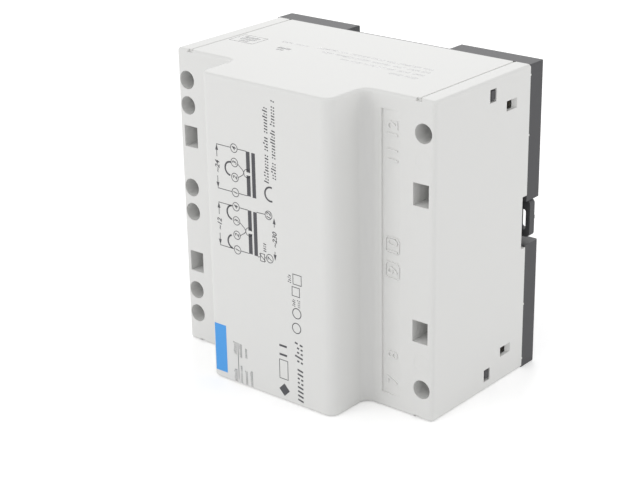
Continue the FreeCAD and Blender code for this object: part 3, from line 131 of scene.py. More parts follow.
# How much lower the two mains lines are at the second bar than at their other ends.
MAINS_LINE_DROPS = (0.1, 0.2)

# Tap: its loop, where its two lines leave the circles, where they bend and where they meet.
TAP_REACH = 3.3
TAP_HALF = 0.42
TAP_START = 0.25
TAP_BEND = (0.45, 0.75)
TAP_END = 0.1

# Room that a voltage takes in its dimension line: at its ends and for each of its figures.
VOLTAGE_MARGIN = 0.5
VOLTAGE_FIGURE = 0.75
VOLTAGE_BOLDNESS = 0.016

# How far the lines from the outer circles go past the dimension line.
VOLTAGE_OVERRUN = 0.1

# Bridges between circles and the sample of one beside the diagram, each an arc through three places.
UPPER_BRIDGES = (((-11.95, 66.5), (-14.1, 64.6), (-12.3, 62.7)),)
LOWER_BRIDGES = (((-12.25, 54.0), (-14.0, 51.9), (-12.3, 50.0)),
                 ((-12.65, 45.3), (-14.05, 43.4), (-12.4, 41.5)))
SAMPLE_BRIDGE = ((2.56, 62.2), (0.05, 60.2), (2.6, 58.4))
ARC_STEPS = 12

# Rows of strokes on the front: column, low end, high end, height and width of a stroke.
FRONT_ROWS = (
    (0.75, 63.4, 84.6, 1.6, 0.34), (3.3, 64.9, 86.5, 1.6, 0.34), (-0.75, 43.4, 45.9, 1.3, 0.28),
    (-13.0, 9.4, 13.2, 1.15, 0.27), (-13.0, 1.0, 4.6, 1.15, 0.27), (-10.9, 8.9, 12.9, 0.95, 0.25),
    (-10.9, 1.0, 6.6, 0.95, 0.25), (-8.95, 9.2, 12.4, 0.95, 0.25), (-8.95, 1.0, 6.0, 0.95, 0.25),
    (-7.0, 1.0, 6.0, 0.95, 0.25), (7.9, 36.6, 39.6, 1.1, 0.26), (9.3, 30.0, 32.4, 1.0, 0.24),
    (11.0, 30.0, 32.4, 1.0, 0.24), (10.7, 1.8, 20.4, 2.7, 0.5))
FRONT_RULE = ((-11.85, 1.7), (-11.85, 13.0))

# Boxes and bars on the front: left, right, low and high. Then the rings and the lozenge beside them.
FRONT_BOXES = ((9.2, 12.1, 36.45, 39.35), (8.8, 11.4, 33.0, 35.6), (3.6, 6.6, 6.9, 12.6))
FRONT_BARS = ((3.7, 6.4, 13.9, 14.5), (3.7, 6.4, 16.6, 17.2))
FRONT_RINGS = ((10.3, 28.0), (10.1, 23.6))
RING_RADIUS = 1.6
LOZENGE = ((3.3, 3.6), (5.2, 1.7), (7.1, 3.6), (5.2, 5.5))

# Rows of strokes on the side face: depth from the front, its two ends, height and width of a stroke.
SIDE_ROWS = (
    (37.6, -11.75, 28.3, 1.3, 0.28), (34.8, -8.1, 28.7, 1.3, 0.28), (31.8, 0.9, 29.0, 1.3, 0.28),
    (28.7, 19.8, 29.1, 1.3, 0.28), (36.8, -24.5, -15.0, 1.2, 0.2))

# Box and bars on the side face: nearest depth, farthest depth and the two ends.
SIDE_BOX = (29.6, 36.4, -38.6, -29.8)
SIDE_BOX_LINE = 0.18
SIDE_BARS = (
    (34.1, 35.3, -37.0, -31.4), (32.25, 33.35, -37.0, -31.4), (30.5, 31.5, -35.8, -32.6),
    (30.8, 32.0, -21.6, -17.2), (29.3, 30.1, -20.8, -18.4))

# Lamps: name, place, side of the square and the setting that holds the power.
LAMPS = (("top_lamp", (-0.72, 1.0, 0.57), 0.55, "top_power"),
         ("front_lamp", (-0.45, -1.1, 0.55), 0.8, "front_power"),
         ("end_lamp", (1.05, 0.45, 0.5), 0.8, "end_power"))
LAMP_AIM = (0.0, 0.0, 0.045)
NEAREST_VIEW = 0.01
WHITE = (1.0, 1.0, 1.0, 1.0)

# What a surface group gives to its shader.
SURFACE_OUTPUTS = (("Colour", "NodeSocketColor"), ("Roughness", "NodeSocketFloat"),
                   ("Normal", "NodeSocketVector"))


def in_millimetres(length):
    return length / MM


def length_property(name, description, default):
    return bpy.props.FloatProperty(name=name, description=description, default=default, unit="LENGTH",
                                   min=0.0, precision=5)


def colour_property(name, description, default):
    return bpy.props.FloatVectorProperty(name=name, description=description, default=default,
                                         subtype="COLOR", size=3, min=0.0, max=1.0)


def power_property(name, description, default):
    return bpy.props.FloatProperty(name=name, description=description, default=default, unit="POWER",
                                   min=0.0)


class FinishColours(bpy.types.PropertyGroup):
    """Colours of the pieces"""
    shell: colour_property("Shell", "Light grey moulded shell", (0.755, 0.755, 0.74))
    base: colour_property("Base", "Dark grey base and latch", (0.02, 0.02, 0.0235))
    diagram: colour_property("Diagram", "Grey ink of the diagram", (0.045, 0.046, 0.05))
    faint_print: colour_property("Faint print", "Pale ink on the side face", (0.34, 0.34, 0.35))
    side_marks: colour_property("Side marks", "Grey ink of the box and bars on the side face",
                                (0.05, 0.05, 0.052))
    field: colour_property("Field", "Blue ink of the plain field", (0.035, 0.3, 0.82))
    # Carrier colour is near-black as painted shade: it darkens what is seen down the terminal wells.
    carrier: colour_property("Carrier", "Black terminal carriers", (0.02, 0.02, 0.021))
    bobbin: colour_property("Bobbin", "Natural white bobbin", (0.78, 0.76, 0.7))
    copper: colour_property("Copper", "Enamelled winding wire", (0.56, 0.2, 0.07))
    tape: colour_property("Tape", "Yellow insulating tape", (0.75, 0.52, 0.06))
    core: colour_property("Core", "Rolled sheets of the core", (0.33, 0.34, 0.36))
    plated: colour_property("Plated steel", "Screws and cages", (0.55, 0.55, 0.54))
    spring: colour_property("Spring", "Drawn spring wire", (0.42, 0.42, 0.43))
    brass: colour_property("Brass", "Contact bars", (0.62, 0.46, 0.18))
    tinned: colour_property("Tinned", "Winding pins", (0.6, 0.6, 0.58))
    lacquer: colour_property("Lacquer", "Dipped thermistor", (0.06, 0.2, 0.32))
    white_sleeve: colour_property("White sleeve", "Low-voltage leads", (0.7, 0.7, 0.68))
    brown_sleeve: colour_property("Brown sleeve", "Mains leads", (0.17, 0.06, 0.025))


class SurfaceSizes(bpy.types.PropertyGroup):
    """Scale of the surface textures"""
    shell_grain: length_property("Shell grain", "Size of the spark-eroded texture of the shell", 0.00045)
    shell_grain_depth: length_property("Shell grain depth", "Depth of that texture", 0.0000035)
    base_grain: length_property("Base grain", "Size of the coarser texture of the base", 0.0006)
    base_grain_depth: length_property("Base grain depth", "Depth of that texture", 0.000014)
    edge_softness: length_property("Edge softness", "Radius that the moulded edges seem to have", 0.00025)
    wire_pitch: length_property("Wire pitch", "Distance from one turn of a winding to the next", 0.0009)
    fine_wire_pitch: length_property("Fine wire pitch", "The same for the mains winding", 0.00035)


class PrintSizes(bpy.types.PropertyGroup):
    """Sizes of the print and of the moulded marks"""
    film: length_property("Ink film", "Thickness of the ink", 0.00003)
    fine_line: length_property("Fine line", "Width of a thin printed line", 0.00019)
    bold_line: length_property("Bold line", "Width of a bridge in the diagram", 0.0005)
    circle: length_property("Circle", "Radius of a printed terminal circle", 0.0013)
    arrow: length_property("Arrow", "Length of an arrow head", 0.0017)
    digit: length_property("Digit", "Height of the small printed numbers", 0.00145)
    voltage_digit: length_property("Voltage digit", "Height of the printed voltages", 0.00155)
    relief: length_property("Relief", "Height of the moulded numbers", 0.00035)
    relief_digit: length_property("Relief digit", "Size of the moulded numbers", 0.0036)


class ScrewSizes(bpy.types.PropertyGroup):
    """Details of the terminal screws"""
    head_height: length_property("Head height", "Height of the head", 0.002)
    shank_radius: length_property("Shank radius", "Outer radius of the thread", 0.0015)
    pitch: length_property("Pitch", "Pitch of the thread", 0.0005)
    thread_depth: length_property("Thread depth", "Depth of the thread", 0.00028)
    head_chamfer: length_property("Head chamfer", "Chamfer round the head", 0.0003)
    slot_width: length_property("Slot width", "Width of the screwdriver slot", 0.0007)
    slot_depth: length_property("Slot depth", "Depth of the screwdriver slot", 0.0009)


class StageSettings(bpy.types.PropertyGroup):
    """Camera, floor and light"""
    camera_place: bpy.props.FloatVectorProperty(
        name="Camera place", description="Where the camera stands", subtype="TRANSLATION", unit="LENGTH",
        default=(0.27266, -0.33423, 0.20728))
    camera_turn: bpy.props.FloatVectorProperty(
        name="Camera turn", description="How the camera is turned", subtype="EULER", unit="ROTATION",
        default=[math.radians(angle) for angle in (68.435, 0.905, 39.686)])
    focal_length: bpy.props.FloatProperty(
        name="Focal length", description="Focal length in millimetres on a 36 mm wide sensor",
        unit="CAMERA", default=91.52)
    sky_level: bpy.props.FloatProperty(
        name="Sky level", description="Strength of the even light from all round", default=0.74)
    top_power: power_property("Top lamp", "Power of the soft lamp behind and above", 5.7)
    front_power: power_property("Front lamp", "Power of the soft lamp to the left of the camera", 4.0)
    end_power: power_property("End lamp", "Power of the soft lamp beyond the mains end", 2.6)
    floor_size: length_property("Floor size", "Side of the pale floor", 6.0)
    floor_colour: colour_property("Floor colour", "Colour of the pale floor", (0.86, 0.86, 0.86))
    floor_lift: bpy.props.FloatProperty(
        name="Floor lift", description="How much of the floor's white is its own towards the camera",
        subtype="FACTOR", min=0.0, max=1.0, default=0.3)


def group_tree(name, inputs, outputs):
    """Shader node group with named sockets: the tree, its input node and its output node."""
    tree = bpy.data.node_groups.new(name, "ShaderNodeTree")
    for label, kind, default in inputs:
        socket = tree.interface.new_socket(name=label, in_out="INPUT", socket_type=kind)
        socket.default_value = default
    for label, kind in outputs:
        tree.interface.new_socket(name=label, in_out="OUTPUT", socket_type=kind)
    return tree, tree.nodes.new("NodeGroupInput"), tree.nodes.new("NodeGroupOutput")


def add_node(tree, kind, inputs=None, **settings):
    """Node with its settings, whose inputs are values or sockets to link from."""
    node = tree.nodes.new(kind)
    for name, value in settings.items():
        setattr(node, name, value)
    for key, value in (inputs or {}).items():
        if isinstance(value, bpy.types.NodeSocket):
            tree.links.new(value, node.inputs[key])
        else:
            node.inputs[key].default_value = value
    return node


def math_node(tree, operation, *values):
    node = add_node(tree, "ShaderNodeMath", dict(enumerate(values)), operation=operation)
    return node.outputs[0]


def noise_node(tree, vector, scale, detail=2.0):
    node = add_node(tree, "ShaderNodeTexNoise", {"Vector": vector, "Scale": scale, "Detail": detail})
    return node.outputs["Fac"]


def link_results(tree, result, *sockets):
    """Links what a group works out to its outputs, in their order."""
    for socket, target in zip(sockets, result.inputs):
        tree.links.new(socket, target)


def shade_towards(tree, colour, factor, level):
    """Colour multiplied by a level where the factor is one, and left as it is where it is zero."""
    node = add_node(tree, "ShaderNodeMix", {"Factor": factor, "A": 1.0, "B": level}, data_type="FLOAT")
    scaled = add_node(tree, "ShaderNodeVectorMath", {0: colour, "Scale": node.outputs["Result"]},
                      operation="SCALE")
    return scaled.outputs["Vector"]


def moulded_surface():
    """Moulded plastic: fine texture, slow mottle from the flow of the melt and soft edges."""
    inputs = [("Colour", "NodeSocketColor", (0.8, 0.8, 0.8, 1.0)), ("Mottle", "NodeSocketFloat", 0.03),
              ("Roughness", "NodeSocketFloat", 0.5), ("Grain Size", "NodeSocketFloat", 0.0004),
              ("Grain Depth", "NodeSocketFloat", 0.000004), ("Edge Softness", "NodeSocketFloat", 0.0002)]
    tree, given, result = group_tree("moulded surface", inputs, SURFACE_OUTPUTS)
    place = add_node(tree, "ShaderNodeTexCoord").outputs["Object"]
    mottle_scale = 45.0
    drift = noise_node(tree, place, mottle_scale, detail=3.0)
    level = math_node(tree, "SUBTRACT", 1.0, given.outputs["Mottle"])
    colour = shade_towards(tree, given.outputs["Colour"], drift, level)
    grain_scale = math_node(tree, "DIVIDE", 1.0, given.outputs["Grain Size"])
    grain = noise_node(tree, place, grain_scale, detail=1.0)
    height = math_node(tree, "MULTIPLY", grain, given.outputs["Grain Depth"])
    soft = add_node(tree, "ShaderNodeBevel", {"Radius": given.outputs["Edge Softness"]}, samples=4)
    bump = add_node(tree, "ShaderNodeBump", {"Strength": 1.0, "Distance": 1.0, "Height": height,
                                             "Normal": soft.outputs["Normal"]})
    gloss_range = 0.12
    gloss_drift = math_node(tree, "MULTIPLY_ADD", drift, gloss_range, -gloss_range / 2)
    roughness = math_node(tree, "ADD", given.outputs["Roughness"], gloss_drift)
    link_results(tree, result, colour, roughness, bump.outputs["Normal"])
    return tree


def drawn_metal():
    """Metal with fine streaks along one axis and a faint stain."""
    inputs = [("Colour", "NodeSocketColor", (0.5, 0.5, 0.5, 1.0)), ("Roughness", "NodeSocketFloat", 0.35),
              ("Stretch", "NodeSocketVector", (1.0, 1.0, 0.05)), ("Streak Size", "NodeSocketFloat", 0.0002),
              ("Streak Depth", "NodeSocketFloat", 0.000002)]
    tree, given, result = group_tree("drawn metal", inputs, SURFACE_OUTPUTS)
    place = add_node(tree, "ShaderNodeTexCoord").outputs["Object"]
    stretched = add_node(tree, "ShaderNodeVectorMath", {0: place, 1: given.outputs["Stretch"]},
                         operation="MULTIPLY").outputs["Vector"]
    streak_scale = math_node(tree, "DIVIDE", 1.0, given.outputs["Streak Size"])
    streak = noise_node(tree, stretched, streak_scale, detail=3.0)
    stain_scale = 220.0
    stain = noise_node(tree, place, stain_scale, detail=3.0)
    streak_shade, stain_shade = 0.82, 0.88
    colour = shade_towards(tree, given.outputs["Colour"], streak, streak_shade)
    stained = shade_towards(tree, colour, stain, stain_shade)
    height = math_node(tree, "MULTIPLY", streak, given.outputs["Streak Depth"])
    bump = add_node(tree, "ShaderNodeBump", {"Strength": 1.0, "Distance": 1.0, "Height": height})
    gloss_range = 0.2
    drift = math_node(tree, "MULTIPLY_ADD", stain, gloss_range, -gloss_range / 2)
    roughness = math_node(tree, "ADD", given.outputs["Roughness"], drift)
    link_results(tree, result, stained, roughness, bump.outputs["Normal"])
    return tree


def wound_wire():
    """Turns of wire side by side along X, each a round ridge with its own shade, and painted shade that
    darkens the creases between the turns.
    """
    inputs = [("Colour", "NodeSocketColor", (0.6, 0.2, 0.08, 1.0)), ("Pitch", "NodeSocketFloat", 0.0009)]
    tree, given, result = group_tree("wound wire", inputs, SURFACE_OUTPUTS)
    place = add_node(tree, "ShaderNodeTexCoord").outputs["Object"]
    along = add_node(tree, "ShaderNodeSeparateXYZ", {"Vector": place}).outputs["X"]
    turn = math_node(tree, "DIVIDE", along, given.outputs["Pitch"])
    across = math_node(tree, "MULTIPLY_ADD", math_node(tree, "FRACT", turn), 2.0, -1.0)
    square = math_node(tree, "MULTIPLY", across, across)
    round_top = math_node(tree, "SQRT", math_node(tree, "SUBTRACT", 1.0, square))
    half_pitch = math_node(tree, "MULTIPLY", given.outputs["Pitch"], 0.5)
    height = math_node(tree, "MULTIPLY", round_top, half_pitch)
    number = math_node(tree, "FLOOR", turn)
    shade = add_node(tree, "ShaderNodeTexWhiteNoise", {"W": number}, noise_dimensions="1D").outputs["Value"]
    turn_shade, painted_groove_shade, groove_sharpness = 0.8, 0.25, 6.0
    colour = shade_towards(tree, given.outputs["Colour"], shade, turn_shade)
    # Painted shade: the colour darkens towards the edges of each turn, in the creases between the turns.
    groove = math_node(tree, "POWER", square, groove_sharpness)
    with_painted_groove_shade = shade_towards(tree, colour, groove, painted_groove_shade)
    bump = add_node(tree, "ShaderNodeBump", {"Strength": 1.0, "Distance": 1.0, "Height": height})
    lacquer_roughness, groove_roughness = 0.22, 0.4
    roughness = math_node(tree, "MULTIPLY_ADD", groove, groove_roughness, lacquer_roughness)
    link_results(tree, result, with_painted_groove_shade, roughness, bump.outputs["Normal"])
    return tree


def ink_film():
    """Pad-printed ink: a little uneven, thinner in small specks."""
    inputs = [("Colour", "NodeSocketColor", (0.05, 0.05, 0.05, 1.0)),
              ("Ground", "NodeSocketColor", (0.75, 0.75, 0.74, 1.0)), ("Wear", "NodeSocketFloat", 0.15)]
    tree, given, result = group_tree("ink film", inputs, SURFACE_OUTPUTS[:2])
    place = add_node(tree, "ShaderNodeTexCoord").outputs["Object"]
    speck_scale = 2600.0
    specks = noise_node(tree, place, speck_scale)
    speck_start, speck_full = 0.55, 0.75
    sparse = add_node(tree, "ShaderNodeMapRange", {"Value": specks, "From Min": speck_start,
                                                   "From Max": speck_full}).outputs["Result"]
    cover_scale = 150.0
    cover = noise_node(tree, place, cover_scale)
    thinning = math_node(tree, "MULTIPLY", sparse, math_node(tree, "MULTIPLY", cover, given.outputs["Wear"]))
    mixed = add_node(tree, "ShaderNodeMix", {"Factor": thinning, "A": given.outputs["Colour"],
                                             "B": given.outputs["Ground"]}, data_type="RGBA")
    ink_roughness, roughness_range = 0.35, 0.2
    roughness = math_node(tree, "MULTIPLY_ADD", cover, roughness_range, ink_roughness)
    link_results(tree, result, mixed.outputs["Result"], roughness)
    return tree


SURFACES = {"moulded surface": moulded_surface, "drawn metal": drawn_metal, "wound wire": wound_wire,
            "ink film": ink_film}


def surface_group(name):
    """The named shader group, built once."""
    return bpy.data.node_groups.get(name) or SURFACES[name]()


def finish(name, group_name, settings, **shader_values):
    """Material whose shader takes what varies over the surface from a shader group."""
    material = bpy.data.materials.get(name)
    if material:
        return material
    material = bpy.data.materials.new(name)
    material.use_nodes = True
    tree = material.node_tree
    shader = tree.nodes["Principled BSDF"]
    group = add_node(tree, "ShaderNodeGroup", node_tree=surface_group(group_name))
    for key, value in settings.items():
        group.inputs[key].default_value = value
    for source, target in (("Colour", "Base Color"), ("Roughness", "Roughness"), ("Normal", "Normal")):
        if source in group.outputs:
            tree.links.new(group.outputs[source], shader.inputs[target])
    for key, value in shader_values.items():
        shader.inputs[key.replace("_", " ")].default_value = value
    return material


def opaque(colour):
    return (*colour, 1.0)


def moulded(name, colour, mottle, roughness, grain, grain_depth, softness):
    return finish(name, "moulded surface", {
        "Colour": opaque(colour), "Mottle": mottle, "Roughness": roughness, "Grain Size": grain,
        "Grain Depth": grain_depth, "Edge Softness": softness})


def light_plastic():
    colours, sizes = bpy.context.scene.finish_colours, bpy.context.scene.surface_sizes
    return moulded("light_plastic", colours.shell, mottle=0.035, roughness=0.5, grain=sizes.shell_grain,
                   grain_depth=sizes.shell_grain_depth, softness=sizes.edge_softness)


def dark_plastic():
    colours, sizes = bpy.context.scene.finish_colours, bpy.context.scene.surface_sizes
    return moulded("dark_plastic", colours.base, mottle=0.14, roughness=0.33, grain=sizes.base_grain,
                   grain_depth=sizes.base_grain_depth, softness=sizes.edge_softness)


def inner_plastic(name, colour):
    sizes = bpy.context.scene.surface_sizes
    return moulded(name, colour, mottle=0.08, roughness=0.45, grain=sizes.base_grain,
                   grain_depth=sizes.shell_grain_depth, softness=sizes.edge_softness)


def sleeve(name, colour):
    sizes = bpy.context.scene.surface_sizes
    return moulded(name, colour, mottle=0.1, roughness=0.3, grain=sizes.base_grain,
                   grain_depth=sizes.shell_grain_depth, softness=0.0)


def metal(name, colour, roughness, stretch, streak_size=0.0002):
    return finish(name, "drawn metal", {"Colour": opaque(colour), "Roughness": roughness,
                                        "Stretch": stretch, "Streak Size": streak_size}, Metallic=1.0)


def winding_wire(name, pitch):
    colours = bpy.context.scene.finish_colours
    return finish(name, "wound wire", {"Colour": opaque(colours.copper), "Pitch": pitch},
                  Metallic=0.7, Coat_Weight=0.6)


def ink(name, colour, wear):
    colours = bpy.context.scene.finish_colours
    return finish(name, "ink film", {"Colour": opaque(colour), "Ground": opaque(colours.shell), "Wear": wear})


def dress(node, material):
    """Gives a piece of the frame its material."""
    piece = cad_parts[node]
    if not piece.material_slots:
        piece.data.materials.append(material)
    for slot in piece.material_slots:
        slot.material = material


def add_piece(name, mesh, material, body, stands_for=()):
    """Scene object from a finished mesh, on a body of the frame."""
    sharp_from = math.radians(35)
    mesh.name = name
    mesh.materials.clear()
    mesh.materials.append(material)
    mesh.set_sharp_from_angle(angle=sharp_from)
    piece = bpy.data.objects.new(name, mesh)
    bpy.context.scene.collection.objects.link(piece)
    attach(piece, body)
    if stands_for:
        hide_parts(*stands_for)
    return piece


def front_place(across, along, height):
    """Point above the raised front face."""
    return Vector((across, FRONT_FACE - height, along)) * MM


def strip_place(across, along, height):
    """Point above the sloping number strips."""
    share = (STRIP_END - abs(across)) / (STRIP_END - STRIP_START)
    level = SHOULDER + STRIP_DEPTH * min(max(share, 0.0), 1.0)
    return Vector((across, level - height, along)) * MM


def shoulder_place(across, along, height):
    """Point above a shoulder."""
    return Vector((across, SHOULDER - height, along)) * MM


def side_place(depth, across, height):
    """Point above the side face that is up, with its depth counted from the front face."""
    return Vector((across, FRONT_FACE + depth, WIDTH + height)) * MM


def back_edge_place(across, along, height):
    """Point behind the back edge of the shell."""
    return Vector((across, SHELL_BACK + height, along)) * MM


def glyphs(text, slant, boldness):
    """Flat plate with the shape of a number, one unit high and centred."""
    curve = bpy.data.curves.new("number", "FONT")
    curve.body = text
    curve.shear = slant
    curve.offset = boldness
    curve.extrude = 0.5
    curve.resolution_u = 3
    holder = bpy.data.objects.new("number", curve)
    mesh = bpy.data.meshes.new_from_object(holder)
    bpy.data.objects.remove(holder)
    bpy.data.curves.remove(curve)
    shape = bmesh.new()
    shape.from_mesh(mesh)
    bpy.data.meshes.remove(mesh)
    weld = 1e-5
    bmesh.ops.remove_doubles(shape, verts=shape.verts, dist=weld)
    low = Vector([min(vertex.co[axis] for vertex in shape.verts) for axis in range(3)])
    high = Vector([max(vertex.co[axis] for vertex in shape.verts) for axis in range(3)])
    middle = (low + high) / 2
    for vertex in shape.verts:
        vertex.co = (vertex.co - middle) / (high.y - low.y)
        vertex.co.z = 0.0 if vertex.co.z < 0 else 1.0
    return shape


def three_point_arc(start, through, end, steps=ARC_STEPS):
    """Points on the arc from one place through a second to a third."""
    (ax, ay), (bx, by), (cx, cy) = start, through, end
    spread = 2 * (ax * (by - cy) + bx * (cy - ay) + cx * (ay - by))
    a, b, c = ax * ax + ay * ay, bx * bx + by * by, cx * cx + cy * cy
    centre_x = (a * (by - cy) + b * (cy - ay) + c * (ay - by)) / spread
    centre_y = (a * (cx - bx) + b * (ax - cx) + c * (bx - ax)) / spread
    radius = math.hypot(ax - centre_x, ay - centre_y)
    first, passed, last = (math.atan2(y - centre_y, x - centre_x) for x, y in (start, through, end))
    turn = (last - first) % math.tau
    if (passed - first) % math.tau > turn:
        turn -= math.tau
    angles = [first + turn * step / steps for step in range(steps + 1)]
    return [(centre_x + radius * math.cos(angle), centre_y + radius * math.sin(angle)) for angle in angles]


def ring_points(centre, radius, count=28):
    angles = [math.tau * step / count for step in range(count)]
    return [(centre[0] + radius * math.cos(angle), centre[1] + radius * math.sin(angle)) for angle in angles]


class FlatWork:
    """Thin closed shapes on a face of the shell, drawn in millimetres across and along it."""

    SHARPEST_CORNER = 0.4
    GROUP_SIZES = (4, 11)
    STROKE_SHARES = (0.72, 0.72, 0.72, 1.0)
    STROKE_SLANT = 0.22
    STEP_BY_HEIGHT = 0.48
    STEP_BY_WIDTH = 2.4
    WHOLE_STROKE = ((0.0, 1.0),)
    BROKEN_STROKE = ((0.0, 0.36), (0.64, 1.0))

    def __init__(self, place, height, sink=0.02):
        self.mesh = bmesh.new()
        self.place = place
        self.height = height
        self.sink = sink

    def plate(self, outline):
        """Plate with a convex outline."""
        lower = [self.mesh.verts.new(self.place(*point, -self.sink)) for point in outline]
        upper = [self.mesh.verts.new(self.place(*point, self.height)) for point in outline]
        self.mesh.faces.new(upper)
        self.mesh.faces.new(lower[::-1])
        for index in range(len(outline)):
            after = (index + 1) % len(outline)
            self.mesh.faces.new((lower[index], lower[after], upper[after], upper[index]))

    def field(self, left, right, low, high):
        self.plate([(left, low), (right, low), (right, high), (left, high)])

    def line(self, points, width, closed=False):
        """Line of even width through points."""
        count = len(points)
        sections = []
        for index, point in enumerate(points):
            before = points[index - 1] if index or closed else point
            after = points[(index + 1) % count] if index < count - 1 or closed else point
            run_in = Vector((point[0] - before[0], point[1] - before[1]))
            run_out = Vector((after[0] - point[0], after[1] - point[1]))
            heading = (run_in.normalized() + run_out.normalized()).normalized()
            longest = max(run_in, run_out, key=lambda run: run.length).normalized()
            reach = width / 2 / max(heading.dot(longest), self.SHARPEST_CORNER)
            offset = Vector((-heading.y, heading.x)) * reach
            sides = ((point[0] + offset.x, point[1] + offset.y), (point[0] - offset.x, point[1] - offset.y))
            levels = (self.height, self.height, -self.sink, -self.sink)
            section = [self.mesh.verts.new(self.place(*side, level))
                       for side, level in zip(sides + sides[::-1], levels)]
            sections.append(section)
        for index in range(count if closed else count - 1):
            here, following = sections[index], sections[(index + 1) % count]
            for corner in range(4):
                across = (corner + 1) % 4
                self.mesh.faces.new((here[corner], here[across], following[across], following[corner]))
        if not closed:
            self.mesh.faces.new(sections[0])
            self.mesh.faces.new(sections[-1][::-1])

    def box(self, left, right, low, high, width):
        """Outline of a rectangle."""
        self.line([(left, low), (right, low), (right, high), (left, high)], width, closed=True)

    def circle(self, centre, radius, width):
        self.line(ring_points(centre, radius - width / 2), width, closed=True)

    def arrow(self, tip, towards, length):
        """Arrow head that ends at its tip and points along the face, up or down."""
        slimness = 0.3
        half = slimness * length
        foot = tip[1] - towards * length
        self.plate([tip, (tip[0] - half, foot), (tip[0] + half, foot)])

    def number(self, text, centre, height, slant=0.25, boldness=0.0):
        """Number that reads along the rail, with its top towards the low-voltage end."""
        shape = glyphs(str(text), slant, boldness)
        copies = {}
        for vertex in shape.verts:
            level = self.height if vertex.co.z > 0.5 else -self.sink
            spot = self.place(centre[0] - vertex.co.y * height, centre[1] + vertex.co.x * height, level)
            copies[vertex] = self.mesh.verts.new(spot)
        for face in shape.faces:
            self.mesh.faces.new([copies[vertex] for vertex in face.verts])
        shape.free()

    def strokes(self, column, low, high, height, stroke, seed, slant=STROKE_SLANT):
        """Row of plain slanted strokes in groups, some of them broken in two."""
        source = random.Random(seed)
        step = max(self.STEP_BY_HEIGHT * height, self.STEP_BY_WIDTH * stroke)
        foot = column + height / 2
        place = low
        left_in_group = source.randint(*self.GROUP_SIZES)
        while place < high - stroke:
            reach = height * source.choice(self.STROKE_SHARES)
            for start, end in source.choice((self.WHOLE_STROKE, self.BROKEN_STROKE)):
                self.line([(foot - share * reach, place + slant * share * reach) for share in (start, end)],
                          stroke)
            place += step
            left_in_group -= 1
            if left_in_group == 0:
                place += step
                left_in_group = source.randint(*self.GROUP_SIZES)

    def finish(self, name, material, slot, stands_for=()):
        """Ends the drawing and puts it on the casing."""
        bmesh.ops.recalc_face_normals(self.mesh, faces=self.mesh.faces)
        mesh = bpy.data.meshes.new(name)
        self.mesh.to_mesh(mesh)
        self.mesh.free()
        return add_piece(name, mesh, material, "casing", stands_for)


def diagram_material():
    return ink("grey_ink", bpy.context.scene.finish_colours.diagram, wear=0.5)


def draw_winding_bars(work, circles):
    """Two bars for the windings, the first broken in its middle by its tap."""
    foot, top = circles[-1], circles[0]
    middle = (foot + top) / 2
    foot_drop, top_drop = SECOND_BAR_DROPS
    work.field(*FIRST_BAR, foot, middle - BAR_BREAK)
    work.field(*FIRST_BAR, middle + BAR_BREAK, top)
    work.field(*SECOND_BAR, foot - foot_drop, top - top_drop)


def draw_numbered_circle(work, number, centre, sizes):
    """Terminal circle with its number inside."""
    work.circle(centre, in_millimetres(sizes.circle), in_millimetres(sizes.fine_line))
    work.number(number, centre, in_millimetres(sizes.digit), boldness=NUMBER_BOLDNESS)


def draw_tap(work, circles, sizes):
    """Lines from the two middle circles to the loop that enters the break of the first bar."""
    fine = in_millimetres(sizes.fine_line)
    radius = in_millimetres(sizes.circle)
    middle = (circles[0] + circles[-1]) / 2
    nose = CIRCLE_COLUMN + TAP_REACH
    upper, lower = (FIRST_BAR[1], middle + TAP_HALF), (FIRST_BAR[1], middle - TAP_HALF)
    work.line(three_point_arc(upper, (nose, middle), lower), fine)
    for height, towards in ((circles[1], 1), (circles[2], -1)):
        start = (CIRCLE_COLUMN + radius, height - towards * TAP_START)
        bend = (nose - TAP_BEND[0], middle + towards * TAP_BEND[1])
        work.line([start, bend, (nose, middle + towards * TAP_END)], fine)


def draw_voltage(work, column, foot, top, voltage, sizes):
    """Dimension line with two arrow heads and a number in its middle."""
    fine = in_millimetres(sizes.fine_line)
    arrow = in_millimetres(sizes.arrow)
    middle = (foot + top) / 2
    half_gap = VOLTAGE_MARGIN + VOLTAGE_FIGURE * len(voltage)
    work.line([(column, foot + arrow), (column, middle - half_gap)], fine)
    work.line([(column, middle + half_gap), (column, top - arrow)], fine)
    work.arrow((column, top), 1, arrow)
    work.arrow((column, foot), -1, arrow)
    work.number(voltage, (column, middle), in_millimetres(sizes.voltage_digit), boldness=VOLTAGE_BOLDNESS)


def draw_secondary(work, circles, bridges, voltage, sizes):
    """One secondary: four numbered circles, its bars, its bridges and its voltage."""
    fine = in_millimetres(sizes.fine_line)
    radius = in_millimetres(sizes.circle)
    draw_winding_bars(work, circles)
    draw_tap(work, circles, sizes)
    for number, height in zip((4, 3, 2, 1), circles):
        draw_numbered_circle(work, number, (CIRCLE_COLUMN, height), sizes)
    for height in (circles[0], circles[-1]):
        work.line([(VOLTAGE_COLUMN - VOLTAGE_OVERRUN, height), (CIRCLE_COLUMN - radius, height)], fine)
        work.line([(CIRCLE_COLUMN + radius, height), (FIRST_BAR[0], height)], fine)
    for places in bridges:
        work.line(three_point_arc(*places), in_millimetres(sizes.bold_line))
    draw_voltage(work, VOLTAGE_COLUMN, circles[-1], circles[0], voltage, sizes)


